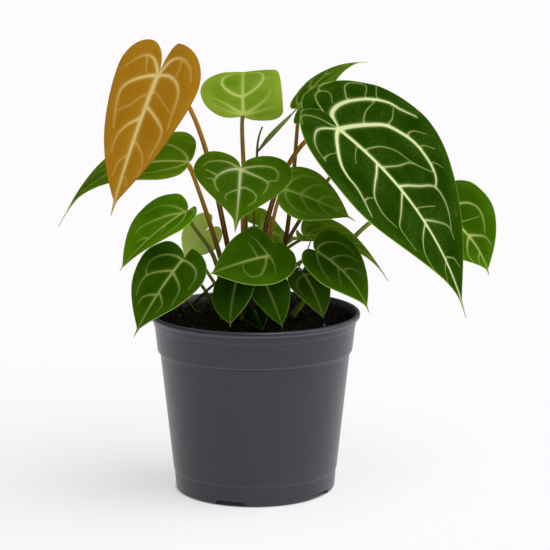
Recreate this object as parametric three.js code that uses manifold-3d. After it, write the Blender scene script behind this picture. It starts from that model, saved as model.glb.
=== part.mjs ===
// Crystal anthurium, Anthurium crystallinum, rooted in its round plastic nursery pot.
//
// Millimetres, +Z up. The origin is the centre of the pot's flat underside and the front of
// the plant looks along -Y. Every leaf is two solids: a heart-shaped blade, and the petiole
// that rises from a hole in the soil and stops just short of the back of the blade.

import * as THREE from "three";
import { mergeVertices } from "three/addons/utils/BufferGeometryUtils.js";
import Module from "manifold-3d";

const wasm = await Module();
wasm.setup();

// ---------------------------------------------------------------- driving dimensions

const POT = {
  height: 102.7,
  wall: 1.5,
  floor: 1.8,
  baseRadius: 45.8,
  ringHeight: 11.5, // a fine step runs round the wall here
  ringStep: 0.5,
  shoulderHeight: 79.9, // the straight wall ends and the collar begins
  shoulderRadius: 54.2,
  collarHeight: 80.6,
  collarRadius: 55.6,
  beadHeight: 95.2, // a fine line under the lip
  beadRadius: 57.2,
  beadStep: 0.3,
  lipHeight: 99.4,
  lipRadius: 60,
  segments: 48,
};
const DRAIN = { count: 5, firstDegrees: -17.5, width: 18.5, topWidth: 15, height: 2.8, inside: 38 };
const SOIL = { top: 97.6, wallGap: 0.35, crown: 1.6, crownWidth: 30, segments: 40 };
const BLADE_THICKNESS = 0.7;
const SEAT_GAP = 0.3; // between solids that touch on the real plant
const HOLE_CLEARANCE = 0.6;
const ROOT_HEIGHT = 90; // petioles are planted down to here
const STALK_TAPER = 0.33; // a petiole is this much thinner at the blade
const STALK_END = 0.35; // and is rounded off to this share of its radius
const CLODS = { large: 0.5, small: 0.35 }; // how far the soil's top rises and falls

// A blade's half outline is spent on the lobe's inner curve, its outer curve and the body.
const LOBE_IN = 0.22;
const LOBE_OUT = 0.2;
const STEM_POWER = 1.25; // cross lines lean towards the tip as veins do

// What a leaf has where its own entry below is silent. Lengths are shares of the midrib, and
// fold and curl are shares of the half width.
const USUAL = {
  lobe: 0.22, // how far the lobes reach back behind the petiole
  inner: 0.4, // where each lobe's rearmost point is, from the midrib to the widest point
  widest: 0.1, // where the blade is widest
  full: 1.9, // how long the body stays wide
  drip: 1.05, // how hard it narrows into the tip
  tail: 0.1, // the length of the drip tip
  thread: 0.25, // how wide the slim tail that runs out to the tip is at the body's widest point
  arch: 0.1, // how far the midrib bows up
  lean: 0, // how far it bows sideways
  lift: 0, // how far the lobes turn up again at the back
  fold: 0.12, // how far each half rises from the midrib
  curl: 0.1, // how far its edge drops back
  size: "medium",
};

// joint is where the petiole meets the blade, tip the end of the midrib, face the side that
// the blade turns to the light. root, rise, reach and the joint steer the petiole's curve,
// and stalk is its radius at the soil. The two halves of a blade are never quite alike: plus
// and minus say what differs in the outline of the half on either side of the midrib.
const LEAVES = {
  great: {
    joint: [46.5, -12, 207.9], tip: [120, -2, 98.9], face: [0.73, -0.5, 0.47], width: 110,
    lobe: 0.2, inner: 0.14, widest: 0.21, drip: 1.2, arch: 0.09, lean: -0.01, fold: 0.24, curl: 0.09,
    tail: 0.09, thread: 0.21,
    plus: { width: 112, lobe: 0.16, inner: 0.1, widest: 0.23, full: 2, drip: 1.5 },
    minus: { width: 115, lobe: 0.19, inner: 0.1, widest: 0.22, full: 1.6, drip: 1.1 },
    root: [5.5, 1], rise: [-6.3, 6, 150.9], reach: [24.6, 14, 212.9], stalk: 1.7, tone: "dark", size: "great",
  },
  bronze: {
    joint: [-53, -15, 237.9], tip: [-78.5, -36, 162.9], face: [-0.4, -0.86, 0.28], width: 54,
    lobe: 0.23, inner: 0.38, widest: 0.07, arch: 0.03, thread: 0.34,
    plus: { width: 51, inner: 0.45, widest: -0.02, full: 2.15, drip: 0.95 },
    minus: { lobe: 0.25, inner: 0.2, widest: 0.04, full: 1.8, drip: 1 },
    root: [-5.2, 3], rise: [-21, 3, 157.9], reach: [-26, -2, 226.9], stalk: 1.7, tone: "bronze", size: "large",
  },
  left_back: {
    joint: [-38, 15, 185.9], tip: [-116, 48, 142.9], face: [0.06, -0.38, 0.92], width: 54,
    lobe: 0.06, widest: 0.07, full: 2, arch: 0.16, lift: 0.05, fold: 0.16, curl: 0,
    plus: { width: 56, lobe: 0.03, full: 2.2, drip: 0.93 },
    minus: { width: 55, lobe: 0.02, widest: 0.1, full: 1.85, drip: 1.1 },
    root: [-9, 11.6], rise: [-19, 13, 130.9], reach: [-30.3, 16, 166.2], stalk: 1.7, tone: "green",
  },
  top_light: {
    joint: [-6.5, 8, 213.9], tip: [-6, 64, 230.4], face: [-0.06, -0.57, 0.82], width: 46,
    lobe: 0.13, widest: 0.22, full: 2, drip: 1, arch: 0.18, lift: 0.01, fold: 0.07, curl: 0.03,
    plus: { width: 45, lobe: 0.08, inner: 0.67, widest: 0, full: 2.8, drip: 0.3 },
    minus: { width: 48, lobe: 0.03, inner: 0.31, widest: 0.27, full: 1.5, drip: 0.9 },
    root: [-9, 7.4], rise: [-0.9, 6.6, 150.9], reach: [-9.6, 10, 208.3], stalk: 1.6, tone: "pale",
  },
  heart: {
    joint: [-7.5, -28, 187.9], tip: [-10.5, -36, 153.9], face: [-0.15, -0.89, 0.43], width: 56,
    lobe: 0.24, inner: 0.46, widest: 0.02, full: 1.8, drip: 1.35, tail: 0.16, arch: 0.05, lean: -0.02,
    thread: 0.28, plus: { width: 54, lobe: 0.26, inner: 0.59, widest: 0.05, full: 1.7, drip: 1.5 },
    minus: { inner: 0.54, full: 1.95, drip: 1.45 },
    fold: 0.01, curl: 0.18,
    root: [-7, -3], rise: [-6, -6, 130.9], reach: [-7, -14, 175.9], stalk: 1.35, tone: "dark",
  },
  right_mid: {
    joint: [17, -12, 173.9], tip: [56.5, -10, 155.9], face: [0.32, -0.61, 0.73], width: 41,
    lobe: 0.12, widest: 0.16, drip: 1.1, tail: 0.13, arch: 0.05, fold: 0.2, thread: 0.21,
    plus: { width: 40, lobe: 0.07, inner: 0.31, widest: 0.22, drip: 1.27 },
    minus: { width: 39.5, widest: 0.19, drip: 1.04 },
    root: [-0.2, -6], rise: [5.5, -7, 129.5], reach: [11.7, -6, 173.9], stalk: 1.35, tone: "green",
  },
  top_back: {
    joint: [25.5, 20, 217.4], tip: [65, 47, 239.9], face: [-0.5, -0.28, 0.82], width: 30,
    lobe: 0.2, widest: 0.12, drip: 1, arch: 0.13, fold: 0.09, curl: 0.2,
    tail: 0.08, thread: 0.27, minus: { width: 25, lobe: 0.04, drip: 0.9 },
    root: [7.8, 7], rise: [24.8, 12, 163.9], reach: [22.3, 21, 206.9], stalk: 1.45, tone: "green",
  },
  right_back: {
    joint: [109.5, 52, 150.9], tip: [138, 48, 113.9], face: [0.47, -0.75, 0.46], width: 60,
    lobe: 0.25, widest: 0, full: 2.05, tail: 0.07, arch: 0.15, fold: 0.24, thread: 0.29,
    plus: { width: 66, drip: 1.3 }, minus: { drip: 1 },
    root: [14, 0], rise: [58, 12, 143.9], reach: [67, 66, 158.9], stalk: 1.6, tone: "green",
  },
  hidden_right: {
    joint: [59, 34, 195.9], tip: [73, 76, 172.9], face: [0.35, 0.1, 0.93], width: 40,
    arch: 0.14,
    root: [0, 13], rise: [9.5, 14, 142.9], reach: [49.3, 30, 180.6], stalk: 1.3, tone: "green",
  },
  left_mid: {
    joint: [-39, -5, 160.4], tip: [-75.5, -16, 128.9], face: [-0.56, -0.42, 0.71], width: 47,
    lobe: 0.11, widest: 0.24, full: 1.7, drip: 1.04, tail: 0.06, arch: 0.05, lift: 0.03, fold: 0.43,
    curl: 0.22, minus: { width: 46, inner: 0.34, widest: 0.21, full: 1.6, drip: 1.23 },
    root: [-18.6, -3], rise: [-16.6, -3, 144.9], reach: [-30.7, -2, 139.4], stalk: 1.5, tone: "green",
  },
  left_low: {
    joint: [-40, -22, 135.9], tip: [-66.5, -41, 95.9], face: [-0.4, -0.7, 0.59], width: 45,
    lobe: 0.15, widest: 0.14, full: 2, drip: 1.1, arch: 0.05, lift: 0.07, fold: 0.18,
    tail: 0.11, thread: 0.23, plus: { width: 46.5, lobe: 0.13, inner: 0.44 },
    minus: { inner: 0.18, widest: 0.21, drip: 1.38 },
    root: [-29.2, 24], rise: [-28.2, 16, 107.9], reach: [-15.5, -6, 99.7], stalk: 1.2, tone: "green",
  },
  left_light: {
    joint: [-30.5, 30, 142.4], tip: [-42, 38, 125.9], face: [-0.17, -0.86, 0.47], width: 24,
    lobe: 0.4, widest: 0.05, arch: 0.13, tail: 0.13, plus: { width: 23, lobe: 0.44, full: 2 },
    minus: { width: 25, full: 1.67, drip: 1.15 },
    root: [-16, 15], rise: [-16.2, 22, 118.1], reach: [-40.4, 36, 120.1], stalk: 1.15,
    tone: "pale", size: "small",
  },
  front: {
    joint: [8, -36, 140.9], tip: [-25, -49, 132.9], face: [-0.16, -0.78, 0.61], width: 37,
    lobe: 0.36, inner: 0.3, widest: 0.12, full: 2.07, drip: 1, tail: 0.07, arch: 0.08, lean: -0.02,
    plus: { width: 39.5, lobe: 0.19, inner: 0.39, widest: 0.04, drip: 1.1 },
    minus: { lobe: 0.43, inner: 0.03, widest: 0.2, drip: 1.05 },
    fold: 0.06, curl: 0.02,
    root: [10, -12], rise: [11, -12, 125.9], reach: [11, -14, 150.9], stalk: 1.2, tone: "green",
  },
  small_left: {
    joint: [-9, -35, 128.9], tip: [-13, -54, 104.6], face: [-0.4, -0.78, 0.47], width: 26,
    widest: 0.2, full: 2.2, drip: 1, arch: 0.07, plus: { widest: 0.24, full: 2.35, drip: 0.84 },
    minus: { width: 24, widest: 0.22, full: 2.4 },
    root: [-8, -9], rise: [-8, -13, 110.9], reach: [-7, -22, 122.9], stalk: 0.9, tone: "green", size: "small",
  },
  small_right: {
    joint: [4, -28, 127.6], tip: [15.8, -45, 101.5], face: [0.25, -0.81, 0.52], width: 25,
    widest: 0.15, full: 2.1, drip: 1, tail: 0.08, arch: 0.07, curl: 0.06, plus: { width: 22.5, widest: 0.18 },
    root: [3, -10], rise: [3, -12, 110.9], reach: [3, -16, 120.9], stalk: 0.9, tone: "dark", size: "small",
  },
  small_low: {
    joint: [0, -27, 108.4], tip: [4.7, -37.5, 99.1], face: [-0.15, -0.75, 0.64], width: 14,
    lobe: 0.2, full: 2, drip: 1, tail: 0.07, arch: 0.05, fold: 0.06,
    root: [2, -15], rise: [1, -16, 103.9], reach: [0, -21, 110.9], stalk: 0.7, tone: "dark", size: "small",
  },
  right_small: {
    joint: [27.6, -15, 126.2], tip: [38.6, -25, 102.6], face: [0.35, -0.78, 0.52], width: 24,
    lobe: 0.18, widest: 0.14, drip: 1, tail: 0.07, arch: 0.09, lift: 0.02, fold: 0.15,
    plus: { inner: 0.29, full: 1.64 }, minus: { full: 2.03, drip: 0.95 },
    root: [16.8, -4.5], rise: [18, -4, 122.9], reach: [24.3, -5.5, 135.3], stalk: 0.95,
    tone: "green", size: "small",
  },
  right_heart: {
    joint: [35, -18, 139.9], tip: [64.2, -19, 105.4], face: [0.4, -0.6, 0.69], width: 42,
    lobe: 0.15, widest: 0.08, full: 2.1, arch: 0.12, lift: 0.05, fold: 0.17, curl: 0.07,
    tail: 0.09, plus: { width: 39.5, lobe: 0.13, inner: 0.38, widest: 0.24, full: 1.8, drip: 1.44 },
    minus: { inner: 0.48, full: 1.97, drip: 0.98 },
    root: [10.5, -5], rise: [11, -6, 128.9], reach: [22.5, -10, 129.9], stalk: 1.5, tone: "green",
  },
  right_long: {
    joint: [29.5, 12, 143.9], tip: [76, 6, 118.4], face: [0.11, -0.3, 0.95], width: 33,
    lobe: 0.12, widest: 0.11, full: 1.13, drip: 1.38, tail: 0.13, arch: 0.17, lift: 0.12, fold: 0.14,
    curl: -0.1, plus: { width: 23.5, widest: 0.03, full: 1.28, drip: 1.17 },
    minus: { width: 35, inner: 0.52 },
    root: [3, 6], rise: [4.5, 5, 129.5], reach: [13.5, 6, 136.2], stalk: 1.3, tone: "green",
  },
  back_mid: {
    joint: [4, 38, 144.9], tip: [28.3, 38, 137.9], face: [0.11, -0.79, 0.6], width: 30,
    lobe: 0.38, widest: 0, full: 1.4, arch: 0.05, lean: 0.12, fold: 0.1, tail: 0.3, thread: 0.4,
    plus: { width: 29, widest: 0.22, full: 0.8, drip: 0.6 },
    minus: { width: 23, lobe: 0.41, inner: 0.25, widest: -0.15, full: 1.9, drip: 1.35 },
    root: [1, 18], rise: [1, 24, 112.9], reach: [3, 40, 128.9], stalk: 1, tone: "pale", size: "small",
  },
};

// The youngest leaf is still rolled. It stands on a stalk of its own, beside the thin sheath
// that it has grown out of.
const YOUNG = {
  stalk: { path: [[-1, -9, ROOT_HEIGHT], [1, -11, 130.9], [-2, -10, 160.9], [1.4, -11, 194.4]], radius: 0.9 },
  sheath: { path: [[1.3, -11, 191.9], [1.5, -11, 197.9], [1.5, -11.5, 202.9], [4.5, -12, 209.4]], radius: 0.6 },
  leaf: { path: [[2.9, -10.7, 196.9], [9, -9, 204.9], [16, -5, 209.9], [27, 0, 221.9]], radius: 1.7 },
};
// Bare old stalks, whose leaves have gone, lean over the soil.
const OLD_STALKS = {
  old_stalk_left: {
    path: [[-32.5, 19.5, 93.9], [-35.5, 15, 100.9], [-38.5, 11, 105.9], [-44, 2, 112.9]],
    radius: 0.85,
  },
  old_stalk_back: {
    path: [[-39, 37, 94.9], [-35.5, 31, 101.9], [-26, 17.5, 112.9], [-19, 6, 120.4]],
    radius: 1,
  },
  old_stalk_right: {
    path: [[30, 12, 93.9], [26.5, 10, 101.9], [21.5, 7, 108.4], [16, 1, 121.9]],
    radius: 0.6,
  },
  old_stalk_thin: {
    path: [[14.5, 6.5, 93.9], [15, 6, 117.9], [27, 8.7, 123.9], [32, 14, 141.1]],
    radius: 0.5,
  },
};

// The tall petioles are flushed brown, the rest are olive.
const BROWN_PETIOLES = [
  "great", "bronze", "left_back", "top_light", "heart", "right_mid", "top_back", "hidden_right",
];

const BLADE_GRID = { great: [22, 4], large: [18, 4], medium: [14, 3], small: [10, 2] };

const COLOURS = {
  pot: { color: 0x45474c, roughness: 0.55 },
  soil: { color: 0x1c1512, roughness: 1 },
  dark: { color: 0x1f4a0c, roughness: 0.4 },
  green: { color: 0x2f6b12, roughness: 0.4 },
  pale: { color: 0x6aa332, roughness: 0.45 },
  bronze: { color: 0xb5751c, roughness: 0.45 },
  brown: { color: 0x7a4a1f, roughness: 0.5 },
  olive: { color: 0x6b7a26, roughness: 0.5 },
  sheath: { color: 0x3b4a20, roughness: 0.6 },
};

// ---------------------------------------------------------------- solids

const group = new THREE.Group();
group.name = "potted_anthurium";

function material(name) {
  return new THREE.MeshStandardMaterial({ name, metalness: 0, ...COLOURS[name] });
}

function addPiece(name, geometry, colour) {
  const mesh = new THREE.Mesh(geometry, material(colour));
  mesh.name = name;
  group.add(mesh);
}

function geometryOf(positions, triangles) {
  const geometry = new THREE.BufferGeometry();
  geometry.setAttribute("position", new THREE.Float32BufferAttribute(positions, 3));
  geometry.setIndex(triangles);
  return geometry;
}

// Six times the volume that a closed surface holds. It is negative when the surface is inside out.
function signedVolume(geometry) {
  const position = geometry.getAttribute("position");
  const index = geometry.getIndex().array;
  const corners = [new THREE.Vector3(), new THREE.Vector3(), new THREE.Vector3()];
  let volume = 0;
  for (let i = 0; i < index.length; i += 3) {
    corners.forEach((corner, k) => corner.fromBufferAttribute(position, index[i + k]));
    volume += corners[0].dot(corners[1].cross(corners[2]));
  }
  return volume;
}

// Joins shared vertices, drops triangles that have shrunk to a line, and turns the rest outwards.
function weld(loose) {
  const bare = loose.clone();
  bare.deleteAttribute("normal");
  bare.deleteAttribute("uv");
  const merged = mergeVertices(bare, 1e-4);
  const index = merged.getIndex().array;
  const kept = [];
  for (let i = 0; i < index.length; i += 3) {
    const [a, b, c] = [index[i], index[i + 1], index[i + 2]];
    if (a !== b && b !== c && c !== a) kept.push(a, b, c);
  }
  merged.setIndex(kept);
  if (signedVolume(merged) < 0) merged.setIndex(kept.reverse());
  return merged;
}

function toManifold(geometry) {
  return new wasm.Manifold(new wasm.Mesh({
    numProp: 3,
    vertProperties: new Float32Array(geometry.getAttribute("position").array),
    triVerts: new Uint32Array(geometry.getIndex().array),
  }));
}

function fromManifold(solid) {
  const mesh = solid.getMesh();
  return geometryOf(mesh.vertProperties, [...mesh.triVerts]);
}

// A profile of [radius, height] points turned about the Z axis.
function turned(profile, segments) {
  const points = profile.map(([radius, height]) => new THREE.Vector2(radius, height));
  return weld(new THREE.LatheGeometry(points, segments).rotateX(Math.PI / 2));
}

// ---------------------------------------------------------------- pot

// The wall's outside, from the base up to the lip, as [radius, height].
function potOutside() {
  const taper = (POT.shoulderRadius - POT.baseRadius - POT.ringStep) / POT.shoulderHeight;
  const ringRadius = POT.baseRadius + taper * POT.ringHeight;
  return [
    [POT.baseRadius - 1, 0],
    [POT.baseRadius, 1],
    [ringRadius, POT.ringHeight],
    [ringRadius + POT.ringStep, POT.ringHeight + POT.ringStep],
    [POT.shoulderRadius, POT.shoulderHeight],
    [POT.collarRadius, POT.collarHeight],
    [POT.beadRadius, POT.beadHeight],
    [POT.beadRadius + POT.beadStep, POT.beadHeight + POT.beadStep],
    [POT.lipRadius - 1.6, POT.lipHeight],
    [POT.lipRadius - 0.3, POT.lipHeight + 0.2],
    [POT.lipRadius, POT.lipHeight + 0.6],
    [POT.lipRadius, POT.height - 0.7],
    [POT.lipRadius - 0.5, POT.height],
  ];
}

// The wall's inside, from the mouth down to the floor.
function potInside() {
  const t = POT.wall;
  return [
    [POT.lipRadius - 1.9, POT.height],
    [POT.lipRadius - 2.4, POT.height - 0.6],
    [POT.beadRadius - t, POT.beadHeight],
    [POT.collarRadius - t, POT.collarHeight + 0.4],
    [POT.shoulderRadius - t, POT.shoulderHeight + 0.4],
    [POT.baseRadius - t + 0.4, POT.floor + 1.2],
    [POT.baseRadius - t - 0.8, POT.floor],
  ];
}

// A drain cuts the corner between the floor and the wall: a trapezium pushed along the radius.
function drainCutter(degrees) {
  const [low, high] = [DRAIN.width / 2, DRAIN.topWidth / 2];
  const section = new THREE.Shape();
  section.moveTo(-low, -1);
  section.lineTo(low, -1);
  section.lineTo(low, 0);
  section.lineTo(high, DRAIN.height);
  section.lineTo(-high, DRAIN.height);
  section.lineTo(-low, 0);
  const depth = POT.baseRadius + 4 - DRAIN.inside;
  const block = new THREE.ExtrudeGeometry(section, { depth, bevelEnabled: false });
  block.translate(0, 0, DRAIN.inside).rotateX(Math.PI / 2);
  block.rotateZ(THREE.MathUtils.degToRad(degrees));
  return weld(block);
}

function potGeometry() {
  const profile = [[0, 0], ...potOutside(), ...potInside(), [0, POT.floor]];
  let pot = toManifold(turned(profile, POT.segments));
  for (let i = 0; i < DRAIN.count; i += 1) {
    pot = pot.subtract(toManifold(drainCutter(DRAIN.firstDegrees + i * 360 / DRAIN.count)));
  }
  return fromManifold(pot);
}

// ---------------------------------------------------------------- leaves

// One point of a blade's flat half outline. t is 0 at the petiole, runs round the lobe at the
// back in two quarter ellipses, and down the body to 1 at the tip.
function flatEdge(t, leaf, length) {
  const half = leaf.width / 2;
  const back = leaf.lobe * length;
  const widest = leaf.widest * length;
  if (t < LOBE_IN) {
    const angle = (1 - t / LOBE_IN) * Math.PI / 2;
    return [-back * Math.cos(angle), leaf.inner * half * (1 - Math.sin(angle))];
  }
  if (t < LOBE_IN + LOBE_OUT) {
    const angle = (t - LOBE_IN) / LOBE_OUT * Math.PI / 2;
    const out = leaf.inner + (1 - leaf.inner) * Math.sin(angle);
    return [widest - (widest + back) * Math.cos(angle), half * out];
  }
  const s = alongBody(t);
  const body = (1 - Math.min(s / (1 - leaf.tail), 1) ** leaf.full) ** leaf.drip;
  const out = Math.hypot(body, leaf.thread * (1 - s)) / Math.hypot(1, leaf.thread);
  return [widest + (length - widest) * s, half * out];
}

function alongBody(t) {
  return Math.max((t - LOBE_IN - LOBE_OUT) / (1 - LOBE_IN - LOBE_OUT), 0);
}

// The directions of a leaf: along its midrib, across it, and the way that it faces.
function leafFrame(leaf) {
  const joint = new THREE.Vector3(...leaf.joint);
  const along = new THREE.Vector3(...leaf.tip).sub(joint);
  const length = along.length();
  along.normalize();
  const face = new THREE.Vector3(...leaf.face);
  face.addScaledVector(along, -face.dot(along)).normalize();
  const across = new THREE.Vector3().crossVectors(along, face);
  return { joint, along, across, face, length };
}

// Bends the flat point (x, y) into space: the midrib arches, each half folds up from it and
// curls down at its edge, and the lobes turn up again at the back.
function bentPoint(x, y, leaf, frame) {
  const { joint, along, across, face, length } = frame;
  const u = x / length;
  const ahead = Math.max(u, 0);
  const out = Math.abs(y) / (leaf.width / 2);
  const arch = 4 * leaf.arch * u * (1 - ahead) + leaf.lift * Math.max(-u / leaf.lobe, 0) ** 2;
  const cup = leaf.width / 2 * (leaf.fold * out - leaf.curl * out * out);
  return joint.clone()
    .addScaledVector(along, x)
    .addScaledVector(across, y + 4 * leaf.lean * length * ahead * (1 - ahead))
    .addScaledVector(face, arch * length + cup);
}

// The middle sheet of a blade, both halves, with its triangles facing the leaf's face.
function bladeSheet(leaf, frame) {
  const [rows, columns] = BLADE_GRID[leaf.size];
  const positions = [];
  const triangles = [];
  for (const side of [1, -1]) {
    const first = positions.length / 3;
    const half = { ...leaf, ...(side > 0 ? leaf.plus : leaf.minus) };
    for (let i = 1; i <= rows; i += 1) {
      const t = i / rows;
      const [edgeX, edgeY] = flatEdge(t, half, frame.length);
      const stemX = frame.length * alongBody(t) ** STEM_POWER;
      for (let j = 0; j <= columns; j += 1) {
        const v = j / columns;
        positions.push(...bentPoint(stemX + (edgeX - stemX) * v, side * edgeY * v, leaf, frame));
      }
    }
    for (let i = 0; i < rows - 1; i += 1) {
      for (let j = 0; j < columns; j += 1) {
        const a = first + i * (columns + 1) + j;
        const b = a + 1;
        const c = a + columns + 1;
        const d = c + 1;
        if (side > 0) triangles.push(a, b, d, a, d, c);
        else triangles.push(a, d, b, a, c, d);
      }
    }
  }
  return geometryOf(positions, triangles);
}

// Gives an open sheet a thickness: both faces are the same triangles, moved apart along the
// sheet's own normals, and a wall runs round the edge.
function thicken(sheet, thickness) {
  const merged = weldSheet(sheet);
  merged.computeVertexNormals();
  const position = merged.getAttribute("position");
  const normal = merged.getAttribute("normal");
  const count = position.count;
  const positions = [];
  for (const direction of [0.5, -0.5]) {
    for (let i = 0; i < count; i += 1) {
      const point = new THREE.Vector3().fromBufferAttribute(position, i);
      const up = new THREE.Vector3().fromBufferAttribute(normal, i);
      positions.push(...point.addScaledVector(up, direction * thickness));
    }
  }
  const top = [...merged.getIndex().array];
  const triangles = [...top];
  const edges = new Set();
  for (let i = 0; i < top.length; i += 3) {
    const [a, b, c] = top.slice(i, i + 3);
    triangles.push(count + a, count + c, count + b);
    [[a, b], [b, c], [c, a]].forEach(([from, to]) => edges.add(`${from},${to}`));
  }
  for (const edge of edges) {
    const [a, b] = edge.split(",").map(Number);
    if (!edges.has(`${b},${a}`)) triangles.push(b, a, count + a, b, count + a, count + b);
  }
  return geometryOf(positions, triangles);
}

// Joins the shared vertices of an open sheet and keeps the way that its triangles face.
function weldSheet(sheet) {
  const merged = mergeVertices(sheet, 1e-4);
  const index = merged.getIndex().array;
  const kept = [];
  for (let i = 0; i < index.length; i += 3) {
    const [a, b, c] = [index[i], index[i + 1], index[i + 2]];
    if (a !== b && b !== c && c !== a) kept.push(a, b, c);
  }
  merged.setIndex(kept);
  return merged;
}

// A tapering stalk along a cubic Bezier curve, closed at both ends. overrun lengthens it
// past each end.
function stalkGeometry(path, radiusAt, { sides = 6, steps = 8, overrun = 0 } = {}) {
  const curve = new THREE.CubicBezierCurve3(...path.map((point) => new THREE.Vector3(...point)));
  const frames = curve.computeFrenetFrames(steps, false);
  const centres = frames.tangents.map((tangent, i) => {
    const past = i === 0 ? -overrun : i === steps ? overrun : 0;
    return curve.getPointAt(i / steps).addScaledVector(tangent, past);
  });
  const positions = [...centres[0]];
  for (const [i, centre] of centres.entries()) {
    for (let k = 0; k < sides; k += 1) {
      const angle = 2 * Math.PI * k / sides;
      const point = centre.clone()
        .addScaledVector(frames.normals[i], radiusAt(i / steps) * Math.cos(angle))
        .addScaledVector(frames.binormals[i], radiusAt(i / steps) * Math.sin(angle));
      positions.push(...point);
    }
  }
  positions.push(...centres[steps]);
  const last = positions.length / 3 - 1;
  const triangles = [];
  for (let k = 0; k < sides; k += 1) {
    const next = (k + 1) % sides;
    triangles.push(0, 1 + next, 1 + k);
    for (let i = 0; i < steps; i += 1) {
      const [low, high] = [1 + i * sides, 1 + (i + 1) * sides];
      triangles.push(low + k, low + next, high + next, low + k, high + next, high + k);
    }
    triangles.push(last, last - sides + k, last - sides + next);
  }
  return weld(geometryOf(positions, triangles));
}

// A petiole thins towards the blade and is rounded off just below it.
function petioleRadius(leaf) {
  return (u) => leaf.stalk * (u === 1 ? STALK_END : 1 - STALK_TAPER * u);
}

// The petiole's end, set back from the middle of the blade along the blade's own normal.
function petiolePath(leaf, frame) {
  const normal = frame.face.clone().addScaledVector(frame.along, -4 * leaf.arch).normalize();
  const back = BLADE_THICKNESS / 2 + SEAT_GAP + STALK_END * leaf.stalk;
  const end = frame.joint.clone().addScaledVector(normal, -back);
  return [[...leaf.root, ROOT_HEIGHT], leaf.rise, leaf.reach, [...end]];
}

// ---------------------------------------------------------------- soil

// The soil is highest round the stalks and rolls in two waves, about 20 and 15 mm long.
function soilHeight(x, y) {
  const crown = SOIL.crown * Math.exp(-(x * x + y * y) / SOIL.crownWidth ** 2);
  const large = CLODS.large * Math.sin(0.31 * x + 1) * Math.cos(0.27 * y);
  const small = CLODS.small * Math.sin(0.21 * x - 0.37 * y);
  return SOIL.top + crown + large + small;
}

// The soil fills the pot to just below the lip. Its top is uneven, and every stalk that
// stands in it has a plain hole.
function soilGeometry(stalks) {
  const inside = potInside().slice(2).reverse();
  const wall = inside.map(([radius, height]) => [radius - SOIL.wallGap, height + SOIL.wallGap]);
  const topRadius = wall[wall.length - 1][0];
  const rings = [1, 0.86, 0.72, 0.58, 0.44, 0.3, 0.15, 0].map((share) => [topRadius * share, SOIL.top]);
  const block = turned([[0, wall[0][1]], ...wall, ...rings], SOIL.segments);
  const position = block.getAttribute("position");
  for (let i = 0; i < position.count; i += 1) {
    const isTop = Math.abs(position.getZ(i) - SOIL.top) < 0.01;
    if (isTop) position.setZ(i, soilHeight(position.getX(i), position.getY(i)));
  }
  let soil = toManifold(block);
  for (const stalk of stalks) soil = soil.subtract(toManifold(holeCutter(stalk)));
  return fromManifold(soil);
}

// The hole follows its stalk, wider all round and a little deeper.
function holeCutter({ path, radius }) {
  return stalkGeometry(path, () => radius + HOLE_CLEARANCE, { sides: 8, overrun: HOLE_CLEARANCE });
}

// ---------------------------------------------------------------- assembly

const planted = [];

for (const [name, entry] of Object.entries(LEAVES)) {
  const leaf = { ...USUAL, ...entry };
  const frame = leafFrame(leaf);
  const path = petiolePath(leaf, frame);
  const isBrown = BROWN_PETIOLES.includes(name);
  addPiece(`${name}_blade`, thicken(bladeSheet(leaf, frame), BLADE_THICKNESS), leaf.tone);
  addPiece(`${name}_petiole`, stalkGeometry(path, petioleRadius(leaf)), isBrown ? "brown" : "olive");
  planted.push({ path, radius: leaf.stalk });
}

// Young stalks thin by two fifths to their upper end.
const slim = (radius) => (u) => radius * (1 - 0.4 * u);
const sheath = toManifold(stalkGeometry(YOUNG.sheath.path, slim(YOUNG.sheath.radius)));
const youngStalk = toManifold(stalkGeometry(YOUNG.stalk.path, slim(YOUNG.stalk.radius)));
addPiece("young_stalk", fromManifold(youngStalk.add(sheath)), "sheath");
planted.push(YOUNG.stalk);

// The rolled leaf is a spindle with a slim foot and a point.
const rolled = (u) => YOUNG.leaf.radius * (0.3 + 0.7 * Math.sin(Math.PI * Math.min(u * 1.25, 1)) ** 0.8);
addPiece("young_leaf", stalkGeometry(YOUNG.leaf.path, rolled, { sides: 8 }), "pale");

for (const [name, stalk] of Object.entries(OLD_STALKS)) {
  const tone = name === "old_stalk_thin" ? "brown" : "olive";
  addPiece(name, stalkGeometry(stalk.path, () => stalk.radius), tone);
  planted.push(stalk);
}

addPiece("soil", soilGeometry(planted), "soil");
addPiece("pot", potGeometry(), "pot");

export default group;
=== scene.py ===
# %% [markdown]
# # A crystal anthurium in its nursery pot
#
# This lesson dresses a plain CAD model of a young Anthurium crystallinum. The CAD part gives
# every leaf, stem, the soil and the pot their place and size. Each step below makes one kind
# of piece again as a fine surface, worked out with numpy, and gives it a finish.
#
# The numbers for shapes are in millimetres, as a gardener would measure them. Blender works
# in metres, so a mesh is scaled by MM when it is made.

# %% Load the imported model
import math

import bmesh
import bpy
import numpy as np
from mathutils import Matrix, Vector


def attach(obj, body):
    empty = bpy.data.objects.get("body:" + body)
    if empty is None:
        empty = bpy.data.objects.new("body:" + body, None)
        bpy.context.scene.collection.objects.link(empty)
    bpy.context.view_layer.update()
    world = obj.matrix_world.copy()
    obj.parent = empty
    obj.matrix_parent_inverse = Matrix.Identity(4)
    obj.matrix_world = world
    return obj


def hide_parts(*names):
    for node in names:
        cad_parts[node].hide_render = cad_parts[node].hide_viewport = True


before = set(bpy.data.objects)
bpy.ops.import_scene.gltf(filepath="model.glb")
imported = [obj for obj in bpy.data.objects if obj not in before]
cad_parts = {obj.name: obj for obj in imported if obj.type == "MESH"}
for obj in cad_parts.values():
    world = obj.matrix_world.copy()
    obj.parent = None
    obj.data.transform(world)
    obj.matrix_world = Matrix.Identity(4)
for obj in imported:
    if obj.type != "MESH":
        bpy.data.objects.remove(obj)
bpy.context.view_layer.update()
MM = 0.001

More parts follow.
